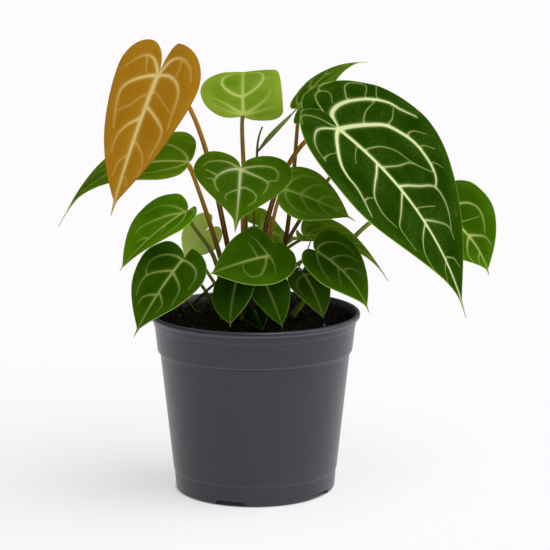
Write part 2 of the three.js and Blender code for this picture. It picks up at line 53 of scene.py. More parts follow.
# %% [markdown]
# ## The camera
#
# A long lens from a little over a metre away keeps the pot's walls nearly parallel. The
# camera stands a hand's width above the plant and looks slightly down on it, so that the
# soil shows as a narrow ellipse inside the rim.

# %% Place the camera
def placed(name, data):
    """A new object of the scene, which stands at the origin."""
    thing = bpy.data.objects.new(name, data)
    bpy.context.scene.collection.objects.link(thing)
    return thing


EYE = Vector((11.4, -1150, 344.9)) * MM
LOOK_AT = Vector((11.4, 0, 123.3)) * MM
lens = bpy.data.cameras.new("camera")
lens.lens = 135
lens.sensor_width = 36
lens.clip_end = 100
camera = placed("camera", lens)
camera.location = EYE
camera.rotation_euler = (LOOK_AT - EYE).to_track_quat("-Z", "Y").to_euler()
bpy.context.scene.camera = camera
looks_down = math.degrees(math.asin((EYE - LOOK_AT).normalized().z))
print("camera looks down", round(looks_down, 1), "degrees")

# %% [markdown]
# ## From numbers to a mesh
#
# Every new piece is a grid of points: rows run one way over the surface and columns the
# other. One function joins the points of a grid with four-sided faces. Another makes the
# mesh, and stores with each point whatever the material will want to know about it, such as
# how far the point is from a vein. Points that fall on each other, as at a pole or a seam,
# are merged there, which closes the surface.

# %% Grids and meshes
MERGE = 2e-3  # mm: points closer than this are one point


def unit(vectors):
    """Each vector, which lies along the last axis, divided by its length."""
    return vectors / np.linalg.norm(vectors, axis=-1, keepdims=True)


def grid_faces(rows, columns, flip=False):
    """Four corners of each face of a grid of points that is stored row by row."""
    i, j = np.meshgrid(np.arange(rows - 1), np.arange(columns - 1), indexing="ij")
    a = (i * columns + j).ravel()
    faces = np.stack([a, a + 1, a + columns + 1, a + columns], axis=1)
    return faces[:, ::-1] if flip else faces


def make_mesh(name, points, faces, fields=None):
    """A closed, smooth mesh from points in mm. fields holds one number or vector a point."""
    mesh = bpy.data.meshes.new(name)
    mesh.from_pydata((points * MM).tolist(), [], faces.tolist())
    for field, values in (fields or {}).items():
        is_vector = values.ndim == 2
        kind, key = ("FLOAT_VECTOR", "vector") if is_vector else ("FLOAT", "value")
        attribute = mesh.attributes.new(field, kind, "POINT")
        attribute.data.foreach_set(key, np.ascontiguousarray(values, np.float32).ravel())
    work = bmesh.new()
    work.from_mesh(mesh)
    bmesh.ops.remove_doubles(work, verts=work.verts, dist=MERGE * MM)
    work.to_mesh(mesh)
    work.free()
    mesh.shade_smooth()
    return mesh


# %% Put a finished piece on the plant
made = {}  # the number of triangles of each piece


def add_piece(name, mesh, material, slot, *nodes):
    """Shows the mesh in place of CAD nodes. Everything here rides on the one body, root."""
    piece = placed(name, mesh)
    mesh.materials.append(material)
    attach(piece, "root")
    if nodes:
        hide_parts(*nodes)
    work = bmesh.new()
    work.from_mesh(mesh)
    volume = work.calc_volume(signed=True) / MM**3
    open_edges = sum(not edge.is_manifold for edge in work.edges)
    made[name] = sum(len(face.verts) - 2 for face in work.faces)
    work.free()
    print(f"{name}: {made[name]} triangles, {volume:.0f} mm3, {open_edges} open edges")
    return piece


# %% [markdown]
# ## Shader formulas that read like formulas
#
# A material is a tree of nodes, and most of its nodes are arithmetic. Wrapping a socket in a
# small class lets Python's own operators add those nodes, so that `1 - mask * 0.5` is
# written just so. Numbers go through Math nodes and vectors through Vector Math. Colours are
# only ever mixed, because a Math node would turn them grey.

# %% A socket that can be calculated with
class Wire:
    """The output of a node, for use in a formula."""

    def __init__(self, finish, socket):
        self.finish, self.socket = finish, socket

    def _join(self, operation, other, swapped=False):
        """Adds the node for an operation: a vector one if either side is a vector."""
        pair = (other, self) if swapped else (self, other)
        vector = any(isinstance(w, Wire) and w.socket.type == "VECTOR" for w in pair)
        kind = "ShaderNodeVectorMath" if vector else "ShaderNodeMath"
        return self.finish.node(kind, {"operation": operation}, dict(enumerate(pair)))

    def __add__(self, other):
        return self._join("ADD", other)

    def __sub__(self, other):
        return self._join("SUBTRACT", other)

    def __rsub__(self, other):
        return self._join("SUBTRACT", other, swapped=True)

    def __mul__(self, other):
        return self._join("MULTIPLY", other)

    def __abs__(self):
        return self.finish.node("ShaderNodeMath", {"operation": "ABSOLUTE"}, {0: self})

    __radd__, __rmul__ = __add__, __mul__


# %% A colour from its code
def colour(code):
    """A colour written as on the web, turned into the linear light that shaders add up."""
    light = np.array([int(code[i : i + 2], 16) for i in (1, 3, 5)]) / 255
    linear = np.where(light < 0.04045, light / 12.92, ((light + 0.055) / 1.055) ** 2.4)
    return (*linear.tolist(), 1.0)


# %% A material that makes its own nodes
class Finish:
    """A material, or the world, whose nodes are made one by one."""

    def __init__(self, owner):
        owner.use_nodes = True
        self.owner, self.tree = owner, owner.node_tree
        self.tree.nodes.clear()

    def node(self, kind, settings=None, inputs=None, output=0):
        """Adds a node: its settings first, then the values or links of its sockets."""
        node = self.tree.nodes.new(kind)
        for key, value in (settings or {}).items():
            if key == "stops":
                self._set_stops(node.color_ramp.elements, value)
            else:
                setattr(node, key, value)
        for key, value in (inputs or {}).items():
            if isinstance(value, Wire):
                self.tree.links.new(value.socket, node.inputs[key])
            else:
                node.inputs[key].default_value = value
        return Wire(self, node.outputs[output]) if node.outputs else node

    @staticmethod
    def _set_stops(elements, stops):
        """Places and colours of a colour ramp, which comes with two stops."""
        while len(elements) < len(stops):
            elements.new(1.0)
        for element, (place, code) in zip(elements, stops):
            element.position, element.color = place, colour(code)

    def field(self, name, vector=False):
        """What make_mesh stored with the points under this name."""
        output = "Vector" if vector else "Fac"
        return self.node("ShaderNodeAttribute", {"attribute_name": name}, output=output)

    def place(self):
        """Where each point of the piece is, in metres."""
        return self.node("ShaderNodeTexCoord", output="Object")

    def drawn_out(self, place, scale):
        """The place times scale, so that a pattern on it is long where scale is small."""
        return self.node("ShaderNodeMapping", {}, {"Vector": place, "Scale": scale})

    def part(self, vector, axis):
        """The X, Y or Z of a vector."""
        return self.node("ShaderNodeSeparateXYZ", {}, {0: vector}, output=axis)

    def length(self, vector):
        """How long a vector is."""
        return self.node("ShaderNodeVectorMath", {"operation": "LENGTH"}, {0: vector}, output="Value")

    def ramp(self, value, low, high, out=(0.0, 1.0)):
        """Rises smoothly as value goes from low to high, or falls where high is the lower."""
        inputs = {"Value": value, "From Min": low, "From Max": high, "To Min": out[0], "To Max": out[1]}
        return self.node("ShaderNodeMapRange", {"interpolation_type": "SMOOTHSTEP"}, inputs)

    def noise(self, place, scale, detail=3.0, roughness=0.5):
        """Soft random spots, about 1 / scale wide."""
        inputs = {"Vector": place, "Scale": scale, "Detail": detail, "Roughness": roughness}
        return self.node("ShaderNodeTexNoise", {}, inputs)

    def mix(self, share, first, second):
        """share of the second colour laid over the first. Both are wires or colour codes."""
        pair = [colour(c) if isinstance(c, str) else c for c in (first, second)]
        settings = {"data_type": "RGBA", "clamp_factor": True}
        return self.node("ShaderNodeMix", settings, {0: share, 6: pair[0], 7: pair[1]}, output=2)

    def bump(self, height, depth):
        """Relief whose height of 1 stands depth millimetres proud."""
        inputs = {"Height": height, "Distance": depth * MM}
        return self.node("ShaderNodeBump", {}, inputs, output="Normal")

    def surface(self, **inputs):
        """Ends the material in a Principled shader. Underscores stand for spaces."""
        sockets = {key.replace("_", " "): value for key, value in inputs.items()}
        shader = self.node("ShaderNodeBsdfPrincipled", {}, sockets)
        self.node("ShaderNodeOutputMaterial", {}, {"Surface": shader})
        return self.owner


def new_material(name):
    """A finish that starts without any nodes."""
    return Finish(bpy.data.materials.new(name))


# %% [markdown]
# ## The pot
#
# The pot is one thin moulding of grey polypropylene. A lathe makes such a shape: half of the
# wall's section is drawn as a line of points and carried round the axis. Real mouldings have
# no sharp corners, and it is the small rounds that catch the light, so each corner of the
# section is replaced by a short curve before it is turned.

# %% Draw and round the section
POT_HEIGHT = 102.7
WALL = 1.5
FLOOR = 1.8
BASE_RADIUS = 45.8
STEP_HEIGHT = 11.5
SHOULDER_HEIGHT, SHOULDER_RADIUS = 79.9, 54.2
COLLAR_HEIGHT, COLLAR_RADIUS = 80.6, 55.6
BEAD_HEIGHT, BEAD_RADIUS = 95.2, 57.2
LIP_HEIGHT, LIP_RADIUS = 99.4, 60.0
ROUNDING = 0.7  # how far a corner's curve reaches from the corner
NEARLY_HALF = 0.48


def rounded(line, reach, steps=5):
    """Each inner corner becomes a quadratic Bezier curve that leaves the two straight
    stretches at most reach from the corner, and never past the middle of a stretch."""
    line = np.array(line, float)
    corner, back, ahead = line[1:-1], line[:-2] - line[1:-1], line[2:] - line[1:-1]
    shorter = np.minimum(np.linalg.norm(back, axis=1), np.linalg.norm(ahead, axis=1))
    cut = np.minimum(reach, NEARLY_HALF * shorter)[:, None]
    start, end = corner + cut * unit(back), corner + cut * unit(ahead)
    t = np.linspace(0, 1, steps)[None, :, None]
    curves = (1 - t) ** 2 * start[:, None] + 2 * t * (1 - t) * corner[:, None] + t**2 * end[:, None]
    return np.vstack([line[:1], curves.reshape(-1, 2), line[-1:]])


def divided(line, longest):
    """Adds points to a line until no stretch is longer than the given length."""
    lengths = np.linalg.norm(np.diff(line, axis=0), axis=1)
    parts = np.maximum(np.ceil(lengths / longest).astype(int), 1)
    pieces = [np.linspace(a, b, n, endpoint=False) for a, b, n in zip(line, line[1:], parts)]
    return np.vstack([*pieces, line[-1:]])


# %% [markdown]
# The outside rises from the foot over a fine step, where the mould parts, up to a slanted
# shoulder. Above it stands the collar, with one bead under the rolled lip. The inside
# follows it one wall's thickness further in.

# %% The pot's section
slope = (SHOULDER_RADIUS - BASE_RADIUS) / SHOULDER_HEIGHT
step_radius = BASE_RADIUS + slope * STEP_HEIGHT
outside = [
    (BASE_RADIUS - 1, 0),
    (BASE_RADIUS, 1),
    (step_radius - 0.45, STEP_HEIGHT),
    (step_radius, STEP_HEIGHT + 0.5),
    (SHOULDER_RADIUS, SHOULDER_HEIGHT),
    (COLLAR_RADIUS, COLLAR_HEIGHT),
    (BEAD_RADIUS, BEAD_HEIGHT),
    (BEAD_RADIUS + 0.35, BEAD_HEIGHT + 0.35),
    (LIP_RADIUS - 1.7, LIP_HEIGHT),
    (LIP_RADIUS - 0.1, LIP_HEIGHT + 0.3),
    (LIP_RADIUS, POT_HEIGHT - 0.9),
    (LIP_RADIUS - 0.9, POT_HEIGHT),
]
inside = [
    (LIP_RADIUS - 1.9, POT_HEIGHT),
    (LIP_RADIUS - 2.5, POT_HEIGHT - 0.8),
    (BEAD_RADIUS - WALL, BEAD_HEIGHT),
    (COLLAR_RADIUS - WALL, COLLAR_HEIGHT + 0.4),
    (SHOULDER_RADIUS - WALL, SHOULDER_HEIGHT + 0.4),
    (BASE_RADIUS - WALL + 0.4, FLOOR + 1.2),
    (BASE_RADIUS - WALL - 0.8, FLOOR),
]
LONGEST = 3.0  # no face is taller than this
section = divided(rounded([(0, 0), *outside, *inside, (0, FLOOR)], ROUNDING), LONGEST)
print("section:", len(section), "points")


# %% Turn the section
def turned(line, around):
    """Carries (radius, height) points round the Z axis: x = r cos a and y = r sin a."""
    angle = np.linspace(0, 2 * math.pi, around + 1)[None, :]
    radius, height = line[:, :1], line[:, 1:]
    points = np.stack([radius * np.cos(angle), radius * np.sin(angle), height + 0 * angle], axis=2)
    return points.reshape(-1, 3), grid_faces(len(line), around + 1, flip=True)


POT_SIDES = 168
pot_mesh = make_mesh("pot_shell", *turned(section, POT_SIDES))
print("turned pot:", len(pot_mesh.polygons), "faces")

# %% [markdown]
# Water drains through five low slots that cut the corner between the floor and the wall. A
# Boolean is the right tool for these: it takes a trapezium block out of the finished shell,
# and the block is thrown away. The slots lie 72 degrees apart.

# %% Cut the drains
DRAINS, FIRST_DRAIN = 5, -17.5
SLOT_WIDTH, SLOT_TOP, SLOT_HEIGHT, SLOT_DEPTH = 18.5, 15.0, 2.8, 38.0


def drain_blocks():
    """All five trapezium blocks in one mesh. Each is drawn across +X and turned about Z."""
    low, high = SLOT_WIDTH / 2, SLOT_TOP / 2
    outline = [(-low, -1), (low, -1), (low, 0), (high, SLOT_HEIGHT), (-high, SLOT_HEIGHT), (-low, 0)]
    outline = rounded([*outline, outline[0]], 0.5, steps=3)[:-1]
    count = len(outline)
    ends = [np.column_stack([np.full(count, x), outline]) for x in (SLOT_DEPTH, BASE_RADIUS + 4)]
    block = np.vstack(ends)
    ring = np.arange(count)
    walls = np.stack([ring, np.roll(ring, -1), np.roll(ring, -1) + count, ring + count], axis=1)
    points, faces = [], []
    for k in range(DRAINS):
        angle = math.radians(FIRST_DRAIN - 90 + 360 * k / DRAINS)
        c, s = math.cos(angle), math.sin(angle)
        points.append(block @ np.array([[c, s, 0], [-s, c, 0], [0, 0, 1]]))
        caps = [ring[::-1].tolist(), (ring + count).tolist()]
        faces += [[i + 2 * count * k for i in face] for face in [*walls.tolist(), *caps]]
    return np.vstack(points), faces


def cut(mesh, points, faces):
    """Subtracts a closed mesh from another with a Boolean modifier and keeps the result."""
    cutter_mesh = bpy.data.meshes.new("cutter")
    cutter_mesh.from_pydata((points * MM).tolist(), [], faces)
    shell, cutter = placed("shell", mesh), placed("cutter", cutter_mesh)
    boolean = shell.modifiers.new("drains", "BOOLEAN")
    boolean.operation, boolean.solver, boolean.object = "DIFFERENCE", "EXACT", cutter
    scene_graph = bpy.context.evaluated_depsgraph_get()
    result = bpy.data.meshes.new_from_object(shell.evaluated_get(scene_graph))
    for thing in (shell, cutter):
        bpy.data.objects.remove(thing)
    return result


SHARP = math.radians(35)  # faces that meet at more than this keep a sharp edge
pot_mesh = cut(pot_mesh, *drain_blocks())
pot_mesh.set_sharp_from_angle(angle=SHARP)
print("pot with drains:", len(pot_mesh.polygons), "faces")

# %% [markdown]
# The plastic is a dark slate grey with a soft, even gloss. Up close it has the faint grain
# of the mould, a few hair-fine scuffs that run round it from handling, and some dried peat
# dust towards the foot. Pale lines are painted on its edges as highlights, and painted shade
# in the corners under them. Inside the lip, the wall above the soil is made near black. All
# of this lies in level bands, so the height of a point is enough to paint it by.

# %% Where the pot is dusty, where it is dark inside, and where light and shade are painted
# The height of each edge that gets a painted highlight, a pale line, and how pale it is.
EDGE_HIGHLIGHTS = {
    POT_HEIGHT - 0.2: 0.26,
    LIP_HEIGHT + 0.7: 0.26,
    BEAD_HEIGHT + 0.3: 0.05,
    COLLAR_HEIGHT + 0.8: 0.16,
    STEP_HEIGHT + 0.5: 0.05,
}
# The height of each corner under an edge that gets painted shade, and how dark it is.
SHADED_CORNERS = {LIP_HEIGHT - 1.2: 0.35, BEAD_HEIGHT - 0.7: 0.2, COLLAR_HEIGHT - 0.3: 0.35}
# Where dust, and the near black on the inside of the wall above the soil, begin and where they are full,
# in metres.
DUST_HEIGHT = (0.034, 0.0)
DARK_INSIDE_FROM_BELOW, DARK_INSIDE_FROM_ABOVE = (0.094, 0.0955), (0.1015, 0.1002)
DARK_INSIDE_RADIUS = (0.0573, 0.0564)


def bands(finish, height, levels, reach, full):
    """The sum of soft bands round the pot. Each begins reach mm from its level and is at
    its full share within full mm."""
    total = 0.0
    for level, share in levels.items():
        away = abs(height - level * MM)
        total = finish.ramp(away, reach * MM, full * MM) * share + total
    return total


# %% Grey moulded plastic
def pot_plastic():
    """Slate grey under dust and scuffs, with painted highlights on the edges, painted shade in the
    corners under them, and near black inside the lip above the soil.
    """
    finish = new_material("grey_moulded_plastic")
    place = finish.place()
    height, radius = finish.part(place, "Z"), finish.length(place * (1, 1, 0))
    scuffs = finish.ramp(finish.noise(finish.drawn_out(place, (60, 60, 900)), 1.0, 4), 0.62, 0.78)
    grain = finish.noise(place, 2600, 2)
    clouds = finish.noise(place, 28, 3)
    dust = finish.ramp(height, *DUST_HEIGHT) * finish.ramp(clouds, 0.4, 0.75)
    # painted highlights: pale lines on the edges, plus faint real scuffs
    scuffs_and_highlights = scuffs * 0.08 + bands(finish, height, EDGE_HIGHLIGHTS, 0.7, 0.2)
    # painted shade in the corners under the edges
    corner_shade = bands(finish, height, SHADED_CORNERS, 1.1, 0.4)
    under_lip = finish.ramp(height, *DARK_INSIDE_FROM_BELOW) * finish.ramp(height, *DARK_INSIDE_FROM_ABOVE)
    # the inside of the wall above the soil, made near black and duller
    dark_inside = finish.ramp(radius, *DARK_INSIDE_RADIUS) * under_lip
    body = finish.mix(clouds, "#1a1f2a", "#202734")
    body = finish.mix(dust * 0.25, body, "#3a352d")
    # the pale painted highlights on the edges, and the scuffs
    body = finish.mix(scuffs_and_highlights, body, "#7d8088")
    # the painted shade under the edges
    body = finish.mix(corner_shade, body, "#0b0d10")
    # near black inside the lip, above the soil
    body = finish.mix(dark_inside * 0.9, body, "#0b0908")
    return finish.surface(
        Base_Color=body,
        Roughness=0.29 + clouds * 0.08 + scuffs * 0.1 + dark_inside * 0.5,
        Normal=finish.bump(grain + scuffs * 0.5, 0.01),
        Specular_IOR_Level=0.6,
    )


add_piece("pot_shell", pot_mesh, pot_plastic(), "pot_plastic", "pot")

# %% [markdown]
# ## The soil
#
# Peat is a heap of crumbs. The bed is turned like the pot and its top is then raised by
# half-buried clods: each clod is a cap of a sphere, and the highest one wins. On it lie loose
# crumbs, a few fibres and grains of perlite. All places are drawn with one seeded generator,
# so every run gives the same soil.

# %% The shape of the bed
SOIL_TOP = 97.6
SOIL_GAP = 0.35  # between the soil and the pot
SOIL_RADIUS = BEAD_RADIUS - WALL - SOIL_GAP
CROWN, CROWN_WIDTH = 1.6, 30.0
CLODS = 900
BURIED = 0.55  # the share of a clod's radius that lies below the bed
SUNK = 0.6  # the bed lies this far under its smooth top, to make room for the clods
chance = np.random.default_rng(7)
clod_angle = chance.uniform(0, 2 * math.pi, CLODS)
clod_place = SOIL_RADIUS * np.sqrt(chance.uniform(0, 1, CLODS))
clod_x, clod_y = clod_place * np.cos(clod_angle), clod_place * np.sin(clod_angle)
clod_size = chance.uniform(1.0, 3.4, CLODS)


def soil_rolls(x, y):
    """The smooth top: a low crown at the stems and two crossing waves."""
    crown = CROWN * np.exp(-(x * x + y * y) / CROWN_WIDTH**2)
    large = 0.5 * np.sin(0.31 * x + 1) * np.cos(0.27 * y)
    return SOIL_TOP + crown + large + 0.35 * np.sin(0.21 * x - 0.37 * y)


def soil_top(x, y):
    """The smooth top raised by the highest clod's cap, sqrt(r squared - d squared) less
    what is buried."""
    x, y = np.atleast_1d(x), np.atleast_1d(y)
    apart = (x[:, None] - clod_x) ** 2 + (y[:, None] - clod_y) ** 2
    caps = np.sqrt(np.maximum(clod_size**2 - apart, 0)) - BURIED * clod_size
    return soil_rolls(x, y) - SUNK + np.maximum(caps.max(axis=1), 0)


# %% Make the bed
BED_RINGS, BED_SIDES = 86, 360
WALL_STRIP = 0.04  # the share of the radius over which the soil sinks at the wall
WALL_SINK = 0.8


def soil_bed():
    """A turned block whose top rings follow soil_top and sink a little at the wall."""
    top = [(SOIL_RADIUS * share, SOIL_TOP) for share in np.linspace(0, 1, BED_RINGS)]
    wall = [(radius - SOIL_GAP, height + SOIL_GAP) for radius, height in inside[2:]]
    line = np.array([*top, *wall, (0, FLOOR + SOIL_GAP)])
    points, faces = turned(line[::-1], BED_SIDES)
    is_top = np.repeat(np.arange(len(line))[::-1] < len(top), BED_SIDES + 1)
    x, y = points[is_top, 0], points[is_top, 1]
    edge = np.clip((np.hypot(x, y) / SOIL_RADIUS - 1 + WALL_STRIP) / WALL_STRIP, 0, 1)
    points[is_top, 2] = soil_top(x, y) - WALL_SINK * edge
    return make_mesh("soil_bed", points, faces)


bed_mesh = soil_bed()
print("soil bed:", len(bed_mesh.polygons), "faces")

# %% [markdown]
# A loose crumb is a twenty-sided lump, squashed, dented and turned at random. Twenty faces
# are plenty for something smaller than a match head, and the whole handful is worked out in
# one go: an array holds every corner of every crumb.

# %% Twenty-sided lumps
def lumps(x, y, size, flatness, seed):
    """Twenty-sided lumps on the soil. Each corner is the icosahedron's, stretched three
    ways, moved in or out by up to a quarter, and turned about a random axis."""
    draw = np.random.default_rng(seed)
    golden = (1 + math.sqrt(5)) / 2
    base = np.array([(0, a, b * golden) for a in (-1, 1) for b in (-1, 1)])
    base = np.vstack([base, base[:, [2, 0, 1]], base[:, [1, 2, 0]]]) / math.hypot(1, golden)
    near = np.linalg.norm(base[:, None] - base, axis=2) < 1.1  # an edge is 1.05 long
    hull = [
        (a, b, c)
        for a in range(12)
        for b in range(a + 1, 12)
        for c in range(b + 1, 12)
        if near[a, b] and near[b, c] and near[a, c]
    ]
    hull = np.array([t if np.linalg.det(base[list(t)]) > 0 else t[::-1] for t in hull])
    count = len(x)
    stretch = draw.uniform(0.6, 1.2, (count, 1, 3)) * (1, 1, flatness)
    corners = base * stretch * draw.uniform(0.75, 1.15, (count, 12, 1)) * size[:, None, None]
    w, i, j, k = unit(draw.normal(size=(count, 4))).T
    turn = np.array([
        [1 - 2 * (j * j + k * k), 2 * (i * j - k * w), 2 * (i * k + j * w)],
        [2 * (i * j + k * w), 1 - 2 * (i * i + k * k), 2 * (j * k - i * w)],
        [2 * (i * k - j * w), 2 * (j * k + i * w), 1 - 2 * (i * i + j * j)],
    ])
    corners = np.einsum("nvk,lkn->nvl", corners, turn)
    seat = soil_top(x, y) + 0.25 * size * flatness
    corners += np.stack([x, y, seat], axis=1)[:, None]
    faces = (hull[None] + 12 * np.arange(count)[:, None, None]).reshape(-1, 3)
    return corners.reshape(-1, 3), faces, np.repeat(draw.uniform(0, 1, count), 12)


def scattered(count, seed, rim=1.6):
    """Places spread evenly over the disc of soil: radius = R sqrt(chance)."""
    draw = np.random.default_rng(seed)
    radius = (SOIL_RADIUS - rim) * np.sqrt(draw.uniform(0, 1, count))
    angle = draw.uniform(0, 2 * math.pi, count)
    return radius * np.cos(angle), radius * np.sin(angle), draw.uniform(0, 1, count)


# %% Crumbs and perlite
x, y, luck = scattered(1500, seed=11)
points, faces, grain = lumps(x, y, 0.35 + 1.25 * luck**2.5, flatness=0.8, seed=12)
crumb_mesh = make_mesh("soil_crumbs", points, faces, {"grain": grain})
x, y, luck = scattered(16, seed=21)
x[0], y[0], luck[0] = 38.8, -21.8, 1.0  # the one large grain, near the right rim
points, faces, grain = lumps(x, y, 0.5 + 0.6 * luck, flatness=0.9, seed=22)
perlite_mesh = make_mesh("perlite", points, faces, {"grain": grain})
print("crumbs:", len(crumb_mesh.polygons), "faces, perlite:", len(perlite_mesh.polygons))

# %% [markdown]
# Stems, fibres and the rolled leaf are all the same kind of thing: a round section carried
# along a curve. The curve is a cubic Bezier, set by four points. The section stands square
# to the curve: one of its directions is a steady one, made square to the tangent, and the
# other is square to both. Unless it is given, the steady direction is whichever main axis
# the curve keeps furthest from.

# %% A tube along a Bezier curve
def bezier(path, t):
    """Point and direction of a cubic Bezier curve at each t."""
    a, b, c, d = np.array(path, float)
    t = t[:, None]
    point = (1 - t) ** 3 * a + 3 * t * (1 - t) ** 2 * b + 3 * t**2 * (1 - t) * c + t**3 * d
    slope = (1 - t) ** 2 * (b - a) + 2 * t * (1 - t) * (c - b) + t**2 * (d - c)
    return point, unit(slope)


def tapered(width, loss):
    """A round section that loses the share loss of its width on the way."""
    return lambda u, angle: width * (1 - loss * u)


def tube(path, radius_at, steps=60, around=18, steady=None):
    """Rings of radius_at(u, angle) round the curve. The first and last ring shrink to a
    point, which closes the ends. With each point come u, its share of the way, and its
    place on the skin: the angle's cosine and sine, and the way walked in mm."""
    t = np.concatenate([[0], np.linspace(0, 1, steps), [1]])
    centre, along = bezier(path, t)
    if steady is None:
        steady = np.eye(3)[np.abs(along).max(axis=0).argmin()]
    first = unit(steady - along * (along @ steady)[:, None])
    second = np.cross(along, first)
    angle = np.linspace(0, 2 * math.pi, around + 1)[None, :]
    radius = radius_at(t[:, None], angle) * np.ones_like(angle)
    radius[[0, -1]] = 0
    cos, sin = np.cos(angle)[..., None], np.sin(angle)[..., None]
    spread = first[:, None] * cos + second[:, None] * sin
    points = (centre[:, None] + spread * radius[..., None]).reshape(-1, 3)
    walked = np.linalg.norm(np.diff(centre, axis=0), axis=1).cumsum()
    run = np.repeat(np.concatenate([[0], walked]), around + 1)
    skin = np.column_stack([np.tile(cos.ravel(), len(t)), np.tile(sin.ravel(), len(t)), run])
    return points, grid_faces(len(t), around + 1), np.repeat(t, around + 1), skin


# %% Fibres in the soil
def fibres(count, seed):
    """Bits of root and bark fibre that lie in shallow bows on the crumbs."""
    x, y, luck = scattered(count, seed, rim=7)
    draw = np.random.default_rng(seed + 1)
    heading = draw.uniform(0, 2 * math.pi, count)
    parts, faces, grains, start = [], [], [], 0
    for k in range(count):
        reach = 2 + 5 * luck[k]
        step = reach * np.array([math.cos(heading[k]), math.sin(heading[k])])
        bow = draw.normal(0, 0.35, (4, 2)) * reach
        flat = np.array([x[k], y[k]]) + np.linspace(-1, 1, 4)[:, None] * step + bow
        path = np.column_stack([flat, soil_top(flat[:, 0], flat[:, 1]) + (0.3, 0.9, 0.9, 0.2)])
        points, quads, _, _ = tube(path, tapered(0.09 + 0.14 * luck[k], 0.5), steps=9, around=5)
        parts.append(points)
        faces.append(quads + start)
        grains.append(np.full(len(points), luck[k]))
        start += len(points)
    return np.vstack(parts), np.vstack(faces), {"grain": np.concatenate(grains)}


fibre_mesh = make_mesh("soil_fibres", *fibres(90, seed=31))
print("fibres:", len(fibre_mesh.polygons), "faces")

# %% [markdown]
# Moist peat is nearly black and takes almost no shine. What keeps it from looking like a
# hole is that every crumb has a slightly different brown. Perlite is chalk-white, stained
# by the peat.

# %% Peat, fibre and perlite
def peat(name, dark, middle, light):
    """Three tones: coarse patches part the first two, and fine specks are of the third."""
    finish = new_material(name)
    place = finish.place()
    patches = finish.noise(place, 260, 4, 0.65)
    fine = finish.noise(place, 1500, 3, 0.7)
    body = finish.mix(finish.ramp(patches + finish.field("grain") * 0.25, 0.42, 0.78), dark, middle)
    body = finish.mix(finish.ramp(fine, 0.58, 0.75) * 0.6, body, light)
    return finish.surface(
        Base_Color=body,
        Roughness=0.95 - finish.ramp(fine, 0.5, 0.8) * 0.25,
        Normal=finish.bump(fine + patches * 0.6, 0.25),
        Specular_IOR_Level=0.2,
    )


add_piece("soil_bed", bed_mesh, peat("moist_peat", "#070402", "#150d07", "#2b1c10"), "soil", "soil")
add_piece("soil_crumbs", crumb_mesh, peat("peat_crumbs", "#0a0603", "#26170c", "#3d2a19"), "soil")
add_piece("soil_fibres", fibre_mesh, peat("peat_fibres", "#20130a", "#4b3219", "#6b4e2c"), "soil")
add_piece("perlite", perlite_mesh, peat("stained_perlite", "#6f6353", "#a3968a", "#cfc6ba"), "soil")

# %% [markdown]
# ## How a leaf is shaped
#
# A leaf of this plant is a heart with a drawn-out tip. It is first drawn flat. x runs along
# the midrib from the joint, where the stem meets the blade, to the tip, and y across it.
# Half of the outline is three stretches, told by t from 0 to 1: two quarter ellipses round
# the lobe at the back, then the body, which narrows into the drip tip.

# %% The flat outline
LOBE_IN, LOBE_OUT = 0.22, 0.2  # shares of t for the lobe's inner and outer curve
OVER_PEAK = 2.598  # brings the highest value of sin squared times cos up to 1
STEM_POWER = 1.25


def along_body(t):
    """0 as far as the widest point of the outline, then up to 1 at the tip."""
    return np.clip((t - LOBE_IN - LOBE_OUT) / (1 - LOBE_IN - LOBE_OUT), 0, 1)


def flat_edge(t, leaf, length):
    """Half of the outline. Inner lobe: x = -back cos a, y = inner (1 - sin a) with a falling
    from 90 degrees. Outer lobe: x and y swing out to the widest point. Body: the half width
    times (1 - s ** full) ** drip, joined to a slim straight tail by their hypotenuse. Over
    takes sin squared a times cos a off the inner lobe, so that it reaches past the midrib."""
    half, back, widest = leaf["width"] / 2, leaf["lobe"] * length, leaf["widest"] * length
    turn_in = (1 - t / LOBE_IN) * math.pi / 2
    turn_out = (t - LOBE_IN) / LOBE_OUT * math.pi / 2
    s = along_body(t)
    body = (1 - np.minimum(s / (1 - leaf["tail"]), 1) ** leaf["full"]) ** leaf["drip"]
    out = np.hypot(body, leaf["thread"] * (1 - s)) / math.hypot(1, leaf["thread"])
    parts = [t < LOBE_IN, t < LOBE_IN + LOBE_OUT]
    x = np.select(
        parts,
        [-back * np.cos(turn_in), widest - (widest + back) * np.cos(turn_out)],
        widest + (length - widest) * s,
    )
    swing = leaf["inner"] + (1 - leaf["inner"]) * np.sin(turn_out)
    inner = leaf["inner"] * (1 - np.sin(turn_in))
    inner = inner - leaf["over"] * OVER_PEAK * np.sin(turn_in) ** 2 * np.cos(turn_in)
    return x, half * np.select(parts, [inner, swing], out)


# %% [markdown]
# The flat leaf is then bent. The midrib arches, each half folds up from it like an open
# book and curls down at the edge, and the lobes may turn up at the back. Three directions
# carry the result into space: along the midrib, across it, and the way that the blade faces.
# Real blades are never quite even, so a slow wave runs along each edge as well.

# %% Bending the flat leaf
CREASE = 0.06  # the fold at the midrib is rounded over this share of the half width
TUCK_REACH = 5.0  # mm behind the joint over which one lobe slips under the other
WAVES = 2  # along each edge
PHASES = (1.0, 3.4)  # where the wave of each edge starts, so that the two differ


def leaf_frame(leaf):
    """The joint, the directions along, across and facing, and the midrib's length."""
    joint, tip = np.array(leaf["joint"], float), np.array(leaf["tip"], float)
    length = np.linalg.norm(tip - joint)
    along = (tip - joint) / length
    face = np.array(leaf["face"], float)
    face = unit(face - along * (face @ along))
    return joint, along, np.cross(along, face), face, length


